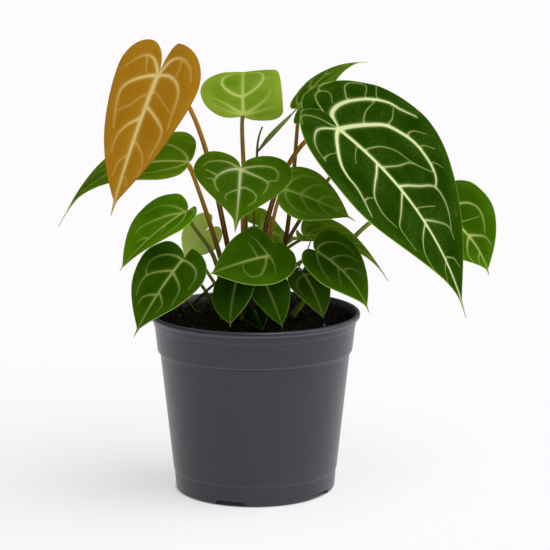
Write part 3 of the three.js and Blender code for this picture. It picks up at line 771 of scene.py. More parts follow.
def bent(x, y, leaf):
    """Rise along the face: 4 arch u (1 - u) L, plus lift behind the joint, plus the half
    width times (fold v - curl v squared), where u = x / L and v = |y| / half width."""
    joint, along, across, face, length = leaf_frame(leaf)
    half = leaf["width"] / 2
    u = x / length
    ahead = np.maximum(u, 0)
    v = np.sqrt((y / half) ** 2 + CREASE**2) - CREASE
    arch = 4 * leaf["arch"] * u * (1 - ahead) + leaf["lift"] * np.maximum(-u / leaf["lobe"], 0) ** 2
    cup = half * (leaf["fold"] * v - leaf["curl"] * v * v)
    wave = leaf["wave"] * v**2 * np.sin(WAVES * 2 * math.pi * u + np.where(y > 0, *PHASES))
    tucked = leaf["tuck"] * (1 - np.exp(-((np.minimum(x, 0) / TUCK_REACH) ** 2)))
    side = y + 4 * leaf["lean"] * length * ahead * (1 - ahead)
    rise = arch * length + cup + wave - tucked
    return joint + x[..., None] * along + side[..., None] * across + rise[..., None] * face


def sheet_normals(x, y, leaf):
    """Square to the bent sheet, from small steps along x and y."""
    step = 0.05
    on_x = bent(x + step, y, leaf) - bent(x - step, y, leaf)
    on_y = bent(x, y + step, leaf) - bent(x, y - step, leaf)
    return unit(np.cross(on_y, on_x))


# %% [markdown]
# ## The leaves, one by one
#
# These are the same values as in the CAD model, with a few for the finish: how strongly the
# veins stand out, how light the blade is, how brown the stem is at its foot and its top, how
# far the edge waves and the flesh puffs up, and how wide a step of the grid is. The two
# halves of a blade are never quite alike: plus and minus say what differs in the outline of
# the half where y is positive or negative. What a leaf doesn't say is taken from USUAL.

# %% What the leaves share
USUAL = dict(
    lobe=0.22, inner=0.4, widest=0.1, full=1.9, drip=1.05, tail=0.1, arch=0.1, lean=0, lift=0,
    thread=0.25, over=0, tuck=0, fold=0.12, curl=0.1, wave=0.35, tone="green",
    skin="velvet", brown=(0.15, 0.1), vein=0.5, shade=0.5, spacing=0.7, quilt=0.16,
)

# %% Tall leaves: five that stand out
LEAVES = {
    "great": dict(
        joint=(46.5, -12, 207.9), tip=(120, -2, 98.9), face=(0.73, -0.5, 0.47), width=110,
        lobe=0.2, inner=0.14, widest=0.21, drip=1.2, tail=0.09, thread=0.21, arch=0.09, lean=-0.01,
        fold=0.24, curl=0.09,
        plus=dict(width=112, lobe=0.16, inner=0.2, widest=0.23, full=2, drip=1.5, over=0.1),
        minus=dict(width=115, lobe=0.19, inner=0.1, widest=0.22, full=1.6, drip=1.1, over=0.23, tuck=1.4),
        root=(5.5, 1), rise=(-6.3, 6, 150.9), reach=(24.6, 14, 212.9), stalk=1.7,
        tone="dark", brown=(0.8, 1.0), vein=1.0, shade=0.25, spacing=0.8, quilt=0.4, wave=0.6,
    ),
    "bronze": dict(
        joint=(-53, -15, 237.9), tip=(-78.5, -36, 162.9), face=(-0.4, -0.86, 0.28), width=54,
        lobe=0.23, inner=0.38, widest=0.07, thread=0.34, arch=0.03,
        plus=dict(width=51, inner=0.45, widest=-0.02, full=2.15, drip=0.95),
        minus=dict(lobe=0.25, inner=0.2, widest=0.04, full=1.8, drip=1),
        root=(-5.2, 3), rise=(-21, 3, 157.9), reach=(-26, -2, 226.9), stalk=1.7,
        tone="bronze", skin="bronze", brown=(0.85, 1.0), vein=1.0, shade=0.62, quilt=0.3,
    ),
    "left_back": dict(
        joint=(-38, 15, 185.9), tip=(-116, 48, 142.9), face=(0.06, -0.38, 0.92), width=54,
        lobe=0.06, widest=0.07, full=2, arch=0.16, lift=0.05, fold=0.16, curl=0,
        plus=dict(width=56, lobe=0.03, full=2.2, drip=0.93),
        minus=dict(width=55, lobe=0.02, widest=0.1, full=1.85, drip=1.1),
        root=(-9, 11.6), rise=(-19, 13, 130.9), reach=(-30.3, 16, 166.2), stalk=1.7,
        brown=(0.25, 0.95), vein=0.62, shade=0.66,
    ),
    "top_light": dict(
        joint=(-6.5, 8, 213.9), tip=(-6, 64, 230.4), face=(-0.06, -0.57, 0.82), width=46,
        lobe=0.13, widest=0.22, full=2, drip=1, arch=0.18, lift=0.01, fold=0.07, curl=0.03,
        plus=dict(width=45, lobe=0.08, inner=0.67, widest=0, full=2.8, drip=0.3),
        minus=dict(width=48, lobe=0.03, inner=0.31, widest=0.27, full=1.5, drip=0.9),
        root=(-9, 7.4), rise=(-0.9, 6.6, 150.9), reach=(-9.6, 10, 208.3), stalk=1.6,
        tone="pale", brown=(0.9, 0.45), vein=0.84, shade=0.85,
    ),
    "heart": dict(
        joint=(-7.5, -28, 187.9), tip=(-10.5, -36, 153.9), face=(-0.15, -0.89, 0.43), width=56,
        lobe=0.24, inner=0.46, widest=0.02, full=1.8, drip=1.35, tail=0.16, thread=0.28, arch=0.05,
        lean=-0.02, fold=0.01, curl=0.18,
        plus=dict(width=54, lobe=0.26, inner=0.59, widest=0.05, full=1.7, drip=1.5),
        minus=dict(inner=0.54, full=1.95, drip=1.45),
        root=(-7, -3), rise=(-6, -6, 130.9), reach=(-7, -14, 175.9), stalk=1.35,
        tone="dark", brown=(0.9, 0.7), vein=1.25, shade=0.55,
    ),
}

# %% Tall leaves: four between and behind them
LEAVES |= {
    "right_mid": dict(
        joint=(17, -12, 173.9), tip=(56.5, -10, 155.9), face=(0.32, -0.61, 0.73), width=41,
        lobe=0.12, widest=0.16, drip=1.1, tail=0.13, thread=0.21, arch=0.05, fold=0.2,
        plus=dict(width=40, lobe=0.07, inner=0.31, widest=0.22, drip=1.27),
        minus=dict(width=39.5, widest=0.19, drip=1.04),
        root=(-0.2, -6), rise=(5.5, -7, 129.5), reach=(11.7, -6, 173.9), stalk=1.35,
        skin="lush", brown=(0.9, 0.8), vein=0.84, shade=0.84,
    ),
    "top_back": dict(
        joint=(25.5, 20, 217.4), tip=(65, 47, 239.9), face=(-0.5, -0.28, 0.82), width=30,
        lobe=0.2, widest=0.12, drip=1, tail=0.08, thread=0.27, arch=0.13, fold=0.09, curl=0.2,
        minus=dict(width=25, lobe=0.04, drip=0.9),
        root=(7.8, 7), rise=(24.8, 12, 163.9), reach=(22.3, 21, 206.9), stalk=1.45,
        brown=(0.95, 0.9), shade=0.57,
    ),
    "right_back": dict(
        joint=(109.5, 52, 150.9), tip=(138, 48, 113.9), face=(0.47, -0.75, 0.46), width=60,
        lobe=0.25, widest=0, full=2.05, tail=0.07, thread=0.29, arch=0.15, fold=0.24,
        plus=dict(width=66, drip=1.3), minus=dict(drip=1),
        root=(14, 0), rise=(58, 12, 143.9), reach=(67, 66, 158.9), stalk=1.6,
        vein=0.8, shade=0.47,
    ),
    "hidden_right": dict(
        joint=(59, 34, 195.9), tip=(73, 76, 172.9), face=(0.35, 0.1, 0.93), width=40,
        arch=0.14,
        root=(0, 13), rise=(9.5, 14, 142.9), reach=(49.3, 30, 180.6), stalk=1.3,
        brown=(0.8, 0.6), shade=0.45,
    ),
}

# %% Low leaves on the left
LEAVES |= {
    "left_mid": dict(
        joint=(-39, -5, 160.4), tip=(-75.5, -16, 128.9), face=(-0.56, -0.42, 0.71), width=47,
        lobe=0.11, widest=0.24, full=1.7, drip=1.04, tail=0.06, arch=0.05, lift=0.03, fold=0.43,
        curl=0.22,
        minus=dict(width=46, inner=0.34, widest=0.21, full=1.6, drip=1.23),
        root=(-18.6, -3), rise=(-16.6, -3, 144.9), reach=(-30.7, -2, 139.4), stalk=1.5,
        skin="lush", vein=0.75, shade=0.69,
    ),
    "left_low": dict(
        joint=(-40, -22, 135.9), tip=(-66.5, -41, 95.9), face=(-0.4, -0.7, 0.59), width=45,
        lobe=0.15, widest=0.14, full=2, drip=1.1, tail=0.11, thread=0.23, arch=0.05, lift=0.07,
        fold=0.18,
        plus=dict(width=46.5, lobe=0.13, inner=0.44), minus=dict(inner=0.18, widest=0.21, drip=1.38),
        root=(-29.2, 24), rise=(-28.2, 16, 107.9), reach=(-15.5, -6, 99.7), stalk=1.2,
        vein=0.75, shade=0.46,
    ),
    "left_light": dict(
        joint=(-30.5, 30, 142.4), tip=(-42, 38, 125.9), face=(-0.17, -0.86, 0.47), width=24,
        lobe=0.4, widest=0.05, tail=0.13, arch=0.13,
        plus=dict(width=23, lobe=0.44, full=2), minus=dict(width=25, full=1.67, drip=1.15),
        root=(-16, 15), rise=(-16.2, 22, 118.1), reach=(-40.4, 36, 120.1), stalk=1.15,
        tone="pale", vein=0.85, shade=1.12,
    ),
}

# %% Low leaves in the middle
LEAVES |= {
    "front": dict(
        joint=(8, -36, 140.9), tip=(-25, -49, 132.9), face=(-0.16, -0.78, 0.61), width=37,
        lobe=0.36, inner=0.3, widest=0.12, full=2.07, drip=1, tail=0.07, arch=0.08, lean=-0.02,
        fold=0.06, curl=0.02,
        plus=dict(width=39.5, lobe=0.19, inner=0.39, widest=0.04, drip=1.1, tuck=1.2),
        minus=dict(lobe=0.43, inner=0, widest=0.2, drip=1.05, over=0.45),
        root=(10, -12), rise=(11, -12, 125.9), reach=(11, -14, 150.9), stalk=1.2,
        shade=0.47,
    ),
    "small_left": dict(
        joint=(-9, -35, 128.9), tip=(-13, -54, 104.6), face=(-0.4, -0.78, 0.47), width=26,
        widest=0.2, full=2.2, drip=1, arch=0.07,
        plus=dict(widest=0.24, full=2.35, drip=0.84), minus=dict(width=24, widest=0.22, full=2.4),
        root=(-8, -9), rise=(-8, -13, 110.9), reach=(-7, -22, 122.9), stalk=0.9,
        vein=0.28, shade=0.3,
    ),
    "small_right": dict(
        joint=(4, -28, 127.6), tip=(15.8, -45, 101.5), face=(0.25, -0.81, 0.52), width=25,
        widest=0.15, full=2.1, drip=1, tail=0.08, arch=0.07, curl=0.06,
        plus=dict(width=22.5, widest=0.18),
        root=(3, -10), rise=(3, -12, 110.9), reach=(3, -16, 120.9), stalk=0.9,
        tone="dark", vein=0.25, shade=0.3,
    ),
    "small_low": dict(
        joint=(0, -27, 108.4), tip=(4.7, -37.5, 99.1), face=(-0.15, -0.75, 0.64), width=14,
        lobe=0.2, full=2, drip=1, tail=0.07, arch=0.05, fold=0.06,
        root=(2, -15), rise=(1, -16, 103.9), reach=(0, -21, 110.9), stalk=0.7,
        tone="dark", vein=0.15, shade=0.1,
    ),
}

# %% Low leaves on the right and behind the stalks
LEAVES |= {
    "right_small": dict(
        joint=(27.6, -15, 126.2), tip=(38.6, -25, 102.6), face=(0.35, -0.78, 0.52), width=24,
        lobe=0.18, widest=0.14, drip=1, tail=0.07, arch=0.09, lift=0.02, fold=0.15,
        plus=dict(inner=0.29, full=1.64), minus=dict(full=2.03, drip=0.95),
        root=(16.8, -4.5), rise=(18, -4, 122.9), reach=(24.3, -5.5, 135.3), stalk=0.95,
        vein=0.35, shade=0.4,
    ),
    "right_heart": dict(
        joint=(35, -18, 139.9), tip=(64.2, -19, 105.4), face=(0.4, -0.6, 0.69), width=42,
        lobe=0.15, widest=0.08, full=2.1, tail=0.09, arch=0.12, lift=0.05, fold=0.17, curl=0.07,
        plus=dict(width=39.5, lobe=0.13, inner=0.38, widest=0.24, full=1.8, drip=1.44),
        minus=dict(inner=0.48, full=1.97, drip=0.98),
        root=(10.5, -5), rise=(11, -6, 128.9), reach=(22.5, -10, 129.9), stalk=1.5,
        vein=0.65, shade=0.52,
    ),
    "right_long": dict(
        joint=(29.5, 12, 143.9), tip=(76, 6, 118.4), face=(0.11, -0.3, 0.95), width=33,
        lobe=0.12, widest=0.11, full=1.13, drip=1.38, tail=0.13, arch=0.17, lift=0.12, fold=0.14,
        curl=-0.1,
        plus=dict(width=23.5, widest=0.03, full=1.28, drip=1.17), minus=dict(width=35, inner=0.52),
        root=(3, 6), rise=(4.5, 5, 129.5), reach=(13.5, 6, 136.2), stalk=1.3,
        shade=0.74,
    ),
    "back_mid": dict(
        joint=(4, 38, 144.9), tip=(28.3, 38, 137.9), face=(0.11, -0.79, 0.6), width=30,
        lobe=0.38, widest=0, full=1.4, tail=0.3, thread=0.4, arch=0.05, lean=0.12, fold=0.1,
        plus=dict(width=29, widest=0.22, full=0.8, drip=0.6),
        minus=dict(width=23, lobe=0.41, inner=0.25, widest=-0.15, full=1.9, drip=1.35),
        root=(1, 18), rise=(1, 24, 112.9), reach=(3, 40, 128.9), stalk=1,
        tone="pale", shade=0.74,
    ),
}
LEAVES = {name: {**USUAL, **leaf} for name, leaf in LEAVES.items()}
print("leaves:", len(LEAVES))

# %% [markdown]
# ## Veins
#
# The pale net of veins is what the plant is grown for. A few strong veins leave the joint
# together with the midrib: some swing back through the lobes and forward again, others bow
# out and run towards the tip. Side veins leave the midrib and bend forward until they meet
# the next one. Each vein is a short list of points that a smooth curve runs through, written
# in hundredths: of the midrib's length along the blade, and of the half width across it,
# where a minus sign is the other half of the blade. The number in front of the points is
# half the vein's width where it starts, in hundredths of a millimetre.

# %% Veins of the great leaf
VEINS = {
    "great": [
        (100, [(0, 0), (30, 0), (60, 0), (100, 0)]),
        (84, [(0, 0), (1, 17), (4, 40), (8, 60), (13, 70), (19, 74), (30, 90)]),
        (36, [(0, 0), (-5, 20), (-7, 36), (-6, 54), (-3, 67), (2, 76)]),
        (16, [(1, 74), (2, 60), (4, 48)]),
        (18, [(0, 0), (-8, 8), (-13, 20), (-15, 32), (-13, 45)]),
        (40, [(21, 0), (23, 20), (24, 36), (27, 60), (34, 70), (42, 66)]),
        (18, [(24, 79), (25, 70), (27, 62)]),
        (30, [(37, 0), (39, 20), (41, 40), (43, 59), (48, 62), (55, 60)]),
        (25, [(54, 0), (56, 27), (60, 44), (67, 44), (74, 38)]),
        (16, [(73, 0), (75, 13), (80, 22)]),
        (11, [(10, 0), (11, 20), (13, 36)]),
        (105, [
            (0, 0), (-3, -6), (-6, -15), (-6.5, -27), (-5, -41), (-1, -58), (3, -70), (8, -80),
            (13, -84), (20, -93),
        ]),
        (16, [(-5, -42), (-8, -50), (-10, -58), (-9, -68), (-4, -78), (-1, -60)]),
        (14, [(3, -70), (1, -78), (-1, -88)]),
        (100, [
            (0, 0), (3, -15), (8, -34), (13, -49), (20, -57), (27, -61), (34, -60), (40, -57),
            (44, -52), (47, -43),
        ]),
        (16, [(6, -27), (3, -45), (3, -68)]),
        (18, [(13, -50), (13, -63), (10, -80)]),
        (18, [(22, -59), (23, -72), (28, -84)]),
        (14, [(29, -61), (31, -70), (35, -78)]),
        (11, [(37, -59), (40, -66), (43, -70)]),
        (16, [(13, 0), (17, -20), (23, -32), (30, -37), (36, -44)]),
        (22, [(23, 0), (28, -19), (31, -35), (36, -44), (42, -54)]),
        (36, [(34, 0), (37, -12), (41, -25), (46, -42), (53, -44), (60, -38), (65, -30)]),
        (25, [(52, 0), (57, -15), (63, -28), (69, -27)]),
        (11, [(46, 0), (49, -14), (52, -26)]),
        (16, [(71, 0), (75, -13), (80, -17)]),
        (18, [(0, 0), (-8, -8), (-14, -15), (-16, -22), (-15, -31), (-12, -35), (-9, -27)]),
        (11, [(-16, -25), (-17, -35), (-15, -50)]),
    ],
}

# %% [markdown]
# The bronze leaf has just unrolled. Its veins are as wide as the great leaf's for its size,
# and still soft at their edges. The dark heart in the middle shows a similar set.

# %% Veins of the bronze leaf and the heart
VEINS |= {
    "bronze": [
        (78, [(0, 0), (30, 0), (60, 0), (100, 0)]),
        (38, [(0, 0), (-5, 8), (-10, 20), (-12, 34), (-11, 48), (-7, 62), (-1, 77)]),
        (47, [(0, 0), (1, 12), (4, 32), (9, 54), (16, 67), (28, 64), (42, 53)]),
        (18, [(-11, 38), (-5, 32), (2, 24)]),
        (16, [(13, 0), (18, 20), (25, 36), (30, 56), (36, 57)]),
        (38, [(30, 0), (34, 12), (39, 27), (47, 39), (58, 40)]),
        (22, [(56, 0), (60, 10), (65, 19), (73, 21)]),
        (39, [(0, 0), (-8, -10), (-13, -20), (-15, -35), (-14, -50), (-9, -68), (-1, -79)]),
        (45, [(0, 0), (-1, -15), (-1, -30), (2, -48), (9, -62), (20, -66), (34, -68)]),
        (14, [(-15, -40), (-7, -44), (0, -42)]),
        (14, [(10, 0), (14, -22), (19, -42), (24, -64)]),
        (38, [(22, 0), (26, -20), (32, -45), (37, -57), (45, -57), (56, -48)]),
        (22, [(46, 0), (50, -14), (55, -30), (62, -38), (70, -35)]),
        (11, [(70, 0), (73, -10), (78, -16)]),
    ],
    "heart": [
        (43, [(0, 0), (30, 0), (60, 0), (100, 0)]),
        (23, [(0, 0), (-4, 10), (-9, 25), (-11, 45), (-8, 67), (-2, 75)]),
        (36, [(0, 0), (1, 12), (4, 26), (11, 42), (20, 50), (28, 49), (37, 42)]),
        (18, [(13, 45), (8, 58), (5, 70)]),
        (14, [(19, 50), (18, 65)]),
        (24, [(0, 0), (-3, -14), (-6, -32), (-7, -52), (-4, -67), (3, -74), (10, -73)]),
        (30, [(0, 0), (4, -12), (8, -26), (13, -44), (19, -54), (27, -54), (36, -48)]),
        (14, [(17, -52), (14, -72)]),
        (18, [(32, 0), (36, 13), (43, 26), (50, 25)]),
        (19, [(29, 0), (30, -15), (38, -32), (48, -33), (57, -20)]),
    ],
}

# %% [markdown]
# The greener leaves show fewer and fainter veins. Where a leaf's own veins don't show, it
# has the usual set: two from the joint and three from the midrib, on both halves.

# %% The usual set of veins
MIDRIB = (50, [(0, 0), (30, 0), (60, 0), (100, 0)])
HALF_SET = [
    (30, [(0, 0), (-5, 20), (-7, 40), (-4, 60), (4, 74)]),
    (34, [(0, 0), (2, 22), (7, 45), (16, 64), (28, 70), (40, 64)]),
    (30, [(20, 0), (25, 22), (34, 46), (46, 55), (58, 48)]),
    (26, [(44, 0), (50, 20), (60, 34), (71, 32)]),
    (20, [(68, 0), (73, 12), (80, 17)]),
]


def mirrored(veins):
    """The same veins on the other half of the blade."""
    return [(width, [(x, -y) for x, y in path]) for width, path in veins]


USUAL_VEINS = [MIDRIB, *HALF_SET, *mirrored(HALF_SET)]

# %% Veins of the other leaves
VEINS |= {
    "top_light": [
        (55, [(0, 0), (20, 0), (50, 0), (90, 0)]),
        (40, [(0, 0), (1, -20), (3, -38), (9, -67)]),
        (45, [(0, 0), (5, -22), (10, -42), (18, -74)]),
        (50, [(17, 0), (23, -28), (33, -49), (45, -50), (56, -36), (62, -15), (56, 0)]),
        (40, [(0, 0), (0, 20), (1, 37), (4, 78)]),
        (45, [(0, 0), (3, 20), (7, 38), (14, 60), (23, 69)]),
        (50, [(18, 0), (25, 26), (36, 46), (50, 50), (62, 33), (60, 15), (54, 0)]),
        (25, [(40, 48), (42, 60), (44, 72)]),
    ],
    "left_low": [
        MIDRIB,
        (36, [(0, 0), (-1, 20), (2, 45), (10, 65), (20, 73), (30, 65)]),
        (34, [(15, 0), (20, 20), (28, 46), (36, 58), (46, 58), (57, 50)]),
        (24, [(33, 56), (30, 62), (27, 70)]),
        (28, [(47, 0), (52, 20), (58, 32), (66, 33)]),
        (36, [(0, 0), (0, -18), (2, -40), (7, -62), (16, -75), (28, -78)]),
        (34, [(17, 0), (22, -20), (28, -42), (36, -57), (52, -60)]),
        (28, [(44, 0), (50, -20), (56, -33), (65, -30)]),
    ],
    "left_mid": [
        MIDRIB,
        (30, [(0, 0), (2, 20), (7, 42), (18, 65), (35, 75)]),
        (36, [(2, 0), (14, 17), (26, 28), (38, 38), (50, 44), (58, 40)]),
        (24, [(50, 0), (56, 14), (64, 20)]),
        (26, [(28, 0), (32, -20), (40, -36), (50, -40)]),
        *mirrored(HALF_SET[:2]),
    ],
    "right_heart": [
        MIDRIB,
        (34, [(0, 0), (-3, -18), (0, -42), (8, -62), (20, -72), (33, -70)]),
        (26, [(16, 0), (21, -28), (30, -50), (42, -58)]),
        (24, [(36, 0), (43, -27), (56, -40)]),
        (32, [(0, 0), (3, 18), (10, 38), (20, 56), (32, 66)]),
        (26, [(30, 0), (36, 20), (48, 47)]),
    ],
    "small_left": [MIDRIB],
    "small_right": [MIDRIB],
    "small_low": [MIDRIB],
    "right_small": [MIDRIB, HALF_SET[1], *mirrored(HALF_SET[1:2])],
    "front": [
        MIDRIB,
        (28, [(0, 0), (4, 30), (8, 60), (15, 80)]),
        (24, [(19, 0), (20, 34), (22, 60)]),
        (32, [(2, 0), (8, -14), (15, -34), (27, -58), (42, -60), (49, -35), (46, 0)]),
        (28, [(0, 0), (-1, -20), (0, -42), (5, -66)]),
    ],
    "right_back": [
        MIDRIB,
        (42, [(0, 0), (2, -20), (6, -40), (13, -54), (25, -58), (40, -48), (53, -33)]),
        (34, [(42, 0), (50, -16), (58, -28), (70, -31)]),
        (20, [(20, 0), (27, -20), (33, -44)]),
        *HALF_SET,
    ],
}
print("veins drawn by hand:", sum(len(veins) for veins in VEINS.values()))

# %% [markdown]
# A texture fine enough for hair-thin veins would need millions of points. Distances are the
# way round that: they change evenly from point to point, so a coarse grid can carry them,
# and the material draws the vein where the distance is small. Each point of a blade keeps
# its distance to the middle of the nearest vein, with a sign for the side that it lies on,
# and that vein's own half width. A wider glow is kept as well, for the pale flesh that lines
# the strong veins.

# %% A curve through a vein's points
def smooth_line(path, steps=9):
    """A Catmull-Rom curve: through every point, with the slope of its two neighbours. The
    path is in hundredths, the curve in shares."""
    p = np.array(path) / 100
    p = np.vstack([2 * p[0] - p[1], p, 2 * p[-1] - p[-2]])
    t = np.linspace(0, 1, steps, endpoint=False)[None, :, None]
    a, b, c, d = (p[i : len(p) - 3 + i, None] for i in range(4))
    bow = 2 * b + (c - a) * t + (2 * a - 5 * b + 4 * c - d) * t**2 + (3 * b - a - 3 * c + d) * t**3
    return np.vstack([bow.reshape(-1, 2) / 2, p[-2:-1]])


# %% Distances to the veins
FAR = 99.0
VEIN_TAPER = 0.78  # the share of its width that a vein loses on the way


def vein_fields(x, y, side, veins, length, half):
    """For each flat point: the signed distance d to the nearest vein's middle, that vein's
    half width r there, the distance d - r to its edge, and the glow, exp(-d / (1.2 + 2.2 r))
    times how strong the vein is. Where a lobe reaches over the midrib, y is negative, and
    the other half's veins are left out."""
    edge, offset, radius, glow = (np.full(x.shape, start) for start in (FAR, FAR, 0.3, 0.0))
    for width, path in veins:
        line = smooth_line(path) * (length, side * half)
        start, step = line[:-1], np.diff(line, axis=0)
        from_x, from_y = x[:, None] - start[:, 0], y[:, None] - start[:, 1]
        share = (from_x * step[:, 0] + from_y * step[:, 1]) / (step**2).sum(axis=1)
        share = np.clip(share, 0, 1)
        gap_x, gap_y = from_x - share * step[:, 0], from_y - share * step[:, 1]
        apart = np.hypot(gap_x, gap_y)
        if line[:, 1].mean() < 0:
            apart += FAR * (y < 0)[:, None]
        k = apart.argmin(axis=1)
        pick = (np.arange(len(x)), k)
        progress = (k + share[pick]) / len(step)
        here = width / 100 * (1 - VEIN_TAPER * progress)
        bank = np.sign(step[k, 0] * gap_y[pick] - step[k, 1] * gap_x[pick])
        closer = apart[pick] - here < edge
        edge = np.where(closer, apart[pick] - here, edge)
        offset = np.where(closer, bank * apart[pick], offset)
        radius = np.where(closer, here, radius)
        fading = np.exp(-apart[pick] / (1.2 + 2.2 * here))
        glow = np.maximum(glow, np.minimum(here / 0.5, 1.4) * fading)
    return edge, offset, radius, glow


# %% [markdown]
# ## Making a blade
#
# A blade is a closed sheet, thin as card. For each half, a row of the grid starts on the
# midrib, crosses the upper face to the edge, goes round the edge and returns underneath. The
# flesh between the veins puffs up a little, and the veins stand out underneath as round
# ridges, thick where they are wide. All of it is small next to the leaf, but it is what the
# light picks out.

# %% Rows and columns of a blade
ENOUGH = 400  # points of the outline to measure its length by


def flat_grid(leaf, length):
    """Flat points of one half: row i goes from the midrib to the outline at t = i / rows.
    Rows on the lobe all start at the joint. Also the distance in from the edge."""
    rough_x, rough_y = flat_edge(np.linspace(0, 1, ENOUGH), leaf, length)
    around = np.hypot(np.diff(rough_x), np.diff(rough_y)).sum()
    rows = int(around / leaf["spacing"]) + 1
    columns = int(leaf["width"] / 2 / leaf["spacing"]) + 1
    t = np.linspace(0, 1, rows)[:, None]
    v = np.linspace(0, 1, columns)[None, :]
    edge_x, edge_y = flat_edge(t, leaf, length)
    stem_x = length * along_body(t) ** STEM_POWER
    x, y = stem_x + (edge_x - stem_x) * v, edge_y * v
    return x, y, (1 - v) * np.hypot(edge_x - stem_x, edge_y)


# %% One half of a blade
THICKNESS = 0.5
THIN_EDGE = 0.75  # the share of the thickness that is left at the edge
RIM_STEPS = 3  # points round the edge, between the upper and the lower face
RIM_WIDTH = 2.5  # quilting and ridges fade out over this width along the edge
RIDGE = 1.25  # how much wider and deeper a ridge is than its vein's half width


def relief(leaf, edge, offset, radius, inward):
    """The flesh puffs up by quilt (1 - exp(-(d / reach) squared)), d from the nearest vein.
    The vein's ridge underneath is a bell curve as high as the vein is wide."""
    reach = 8 * leaf["quilt"] + 1
    puff = leaf["quilt"] * (1 - np.exp(-((np.maximum(edge, 0) / reach) ** 2)))
    ridge = RIDGE * radius * np.exp(-((offset / (RIDGE * radius + 0.05)) ** 2))
    return puff * inward, ridge * inward


def round_edge(middle, normal, thick):
    """Points half a turn round the edge, in the plane of the normal and the way outwards."""
    outward = middle[:, -1] - middle[:, -2]
    outward[[0, -1]] = 0
    reach = np.linalg.norm(outward, axis=1)[:, None]
    outward = np.where(reach > 1e-9, outward / np.maximum(reach, 1e-9), 0)
    turn = np.linspace(0, math.pi, RIM_STEPS + 2)[1:-1][None, :, None]
    lift = normal[:, -1:] * np.cos(turn) + outward[:, None] * np.sin(turn)
    return middle[:, -1:] + lift * thick[:, -1:, None]


def unrolled(above, at_edge, below):
    """The values of one field in the order of the points: above, round the edge, below."""
    rim = np.broadcast_to(at_edge, (len(above), RIM_STEPS))
    return np.concatenate([above, rim, below[:, ::-1]], axis=1).ravel()


def blade_half(side, leaf, veins):
    """Points, faces and fields of one half of the blade, above, round the edge and below."""
    length, half = leaf_frame(leaf)[4], leaf["width"] / 2
    own = {**leaf, **leaf.get("plus" if side > 0 else "minus", {})}
    leaf = {**leaf, "tuck": own["tuck"]}
    x, y, rim = flat_grid(own, length)
    near = vein_fields(x.ravel(), y.ravel(), side, veins, length, half)
    edge, offset, radius, glow = (field.reshape(x.shape) for field in near)
    middle, normal = bent(x, side * y, leaf), sheet_normals(x, side * y, leaf)
    inward = 1 - np.exp(-((rim / RIM_WIDTH) ** 2))
    puff, ridge = relief(leaf, edge, offset, radius, inward)
    thick = THICKNESS / 2 * (THIN_EDGE + (1 - THIN_EDGE) * inward)
    above = middle + normal * (puff + thick)[..., None]
    below = middle + normal * (puff - thick - ridge)[..., None]
    points = np.concatenate([above, round_edge(middle, normal, thick), below[:, ::-1]], axis=1)
    kept = {
        "vein_offset": offset, "vein_half": radius, "vein_edge": edge, "glow": glow, "rim": rim,
        "along": x / length,
    }
    fields = {name: unrolled(field, field[:, -1:], field) for name, field in kept.items()}
    fields["under"] = unrolled(np.zeros(x.shape), 0.5, np.ones(x.shape))
    flat_x, flat_y = (unrolled(f, f[:, -1:], f) for f in (x, side * y))
    fields["flat"] = np.column_stack([flat_x, flat_y, np.zeros(len(flat_x))])
    faces = grid_faces(len(points), points.shape[1], flip=side < 0)
    return points.reshape(-1, 3), faces, fields


# %% Join the halves
def blade_mesh(name, leaf):
    """Both halves in one mesh. They share the midrib, the joint and the tip."""
    veins = VEINS.get(name, USUAL_VEINS)
    plus, minus = (blade_half(side, leaf, veins) for side in (1, -1))
    points = np.vstack([plus[0], minus[0]])
    faces = np.vstack([plus[1], minus[1] + len(plus[0])])
    fields = {key: np.concatenate([plus[2][key], minus[2][key]]) for key in plus[2]}
    fields["vein_strength"] = np.full(len(points), leaf["vein"])
    fields["shade"] = np.full(len(points), leaf["shade"])
    return make_mesh("leaf_" + name, points, faces, fields)


# %% [markdown]
# ## The blades' finish
#
# All the greens of the plant lie on one scale, from the near black of a shaded old leaf to
# the yellow-green of a new one. Each leaf has its own place on it, its shade. Small things
# move the colour up and down that scale: soft patches, the open flesh along the edge, and
# the glow beside a strong vein. Underneath the blade is paler. Two leaves have a scale that
# is greener at the same lightness, and the bronze leaf has one of its own.

# %% The flesh
BRIGHTEST = 1.2
GREENS = [
    (0.0, "#061401"), (0.2, "#183402"), (0.4, "#2a4e02"), (0.6, "#446e04"), (0.8, "#6e9416"),
    (1.0, "#9cb93c"), (1.2, "#c9dc70"),
]
LUSH_GREENS = [
    (0.0, "#061401"), (0.3, "#1f4302"), (0.6, "#417a03"), (0.84, "#6ca30a"), (1.2, "#a8d040"),
]
BRONZES = [(0.0, "#7a5002"), (0.5, "#b47a06"), (1.2, "#e6ae3c")]
OPEN_EDGE = 12.0  # mm from the edge within which the flesh grows lighter


def flesh_colour(finish, scale, patches, grain):
    """The colour on the scale at the leaf's own shade, moved a little up or down."""
    level = finish.field("shade") + (patches - 0.5) * 0.22 + (grain - 0.5) * 0.07
    level = level + finish.ramp(finish.field("rim"), OPEN_EDGE, 0.0) * 0.09
    level = level + finish.field("glow") * finish.field("vein_strength") * 0.16
    level = level + finish.ramp(finish.field("under"), 0.3, 0.9) * 0.22
    stops = [(place / BRIGHTEST, code) for place, code in scale]
    return finish.node("ShaderNodeValToRGB", {"stops": stops}, {"Fac": level * (1 / BRIGHTEST)})
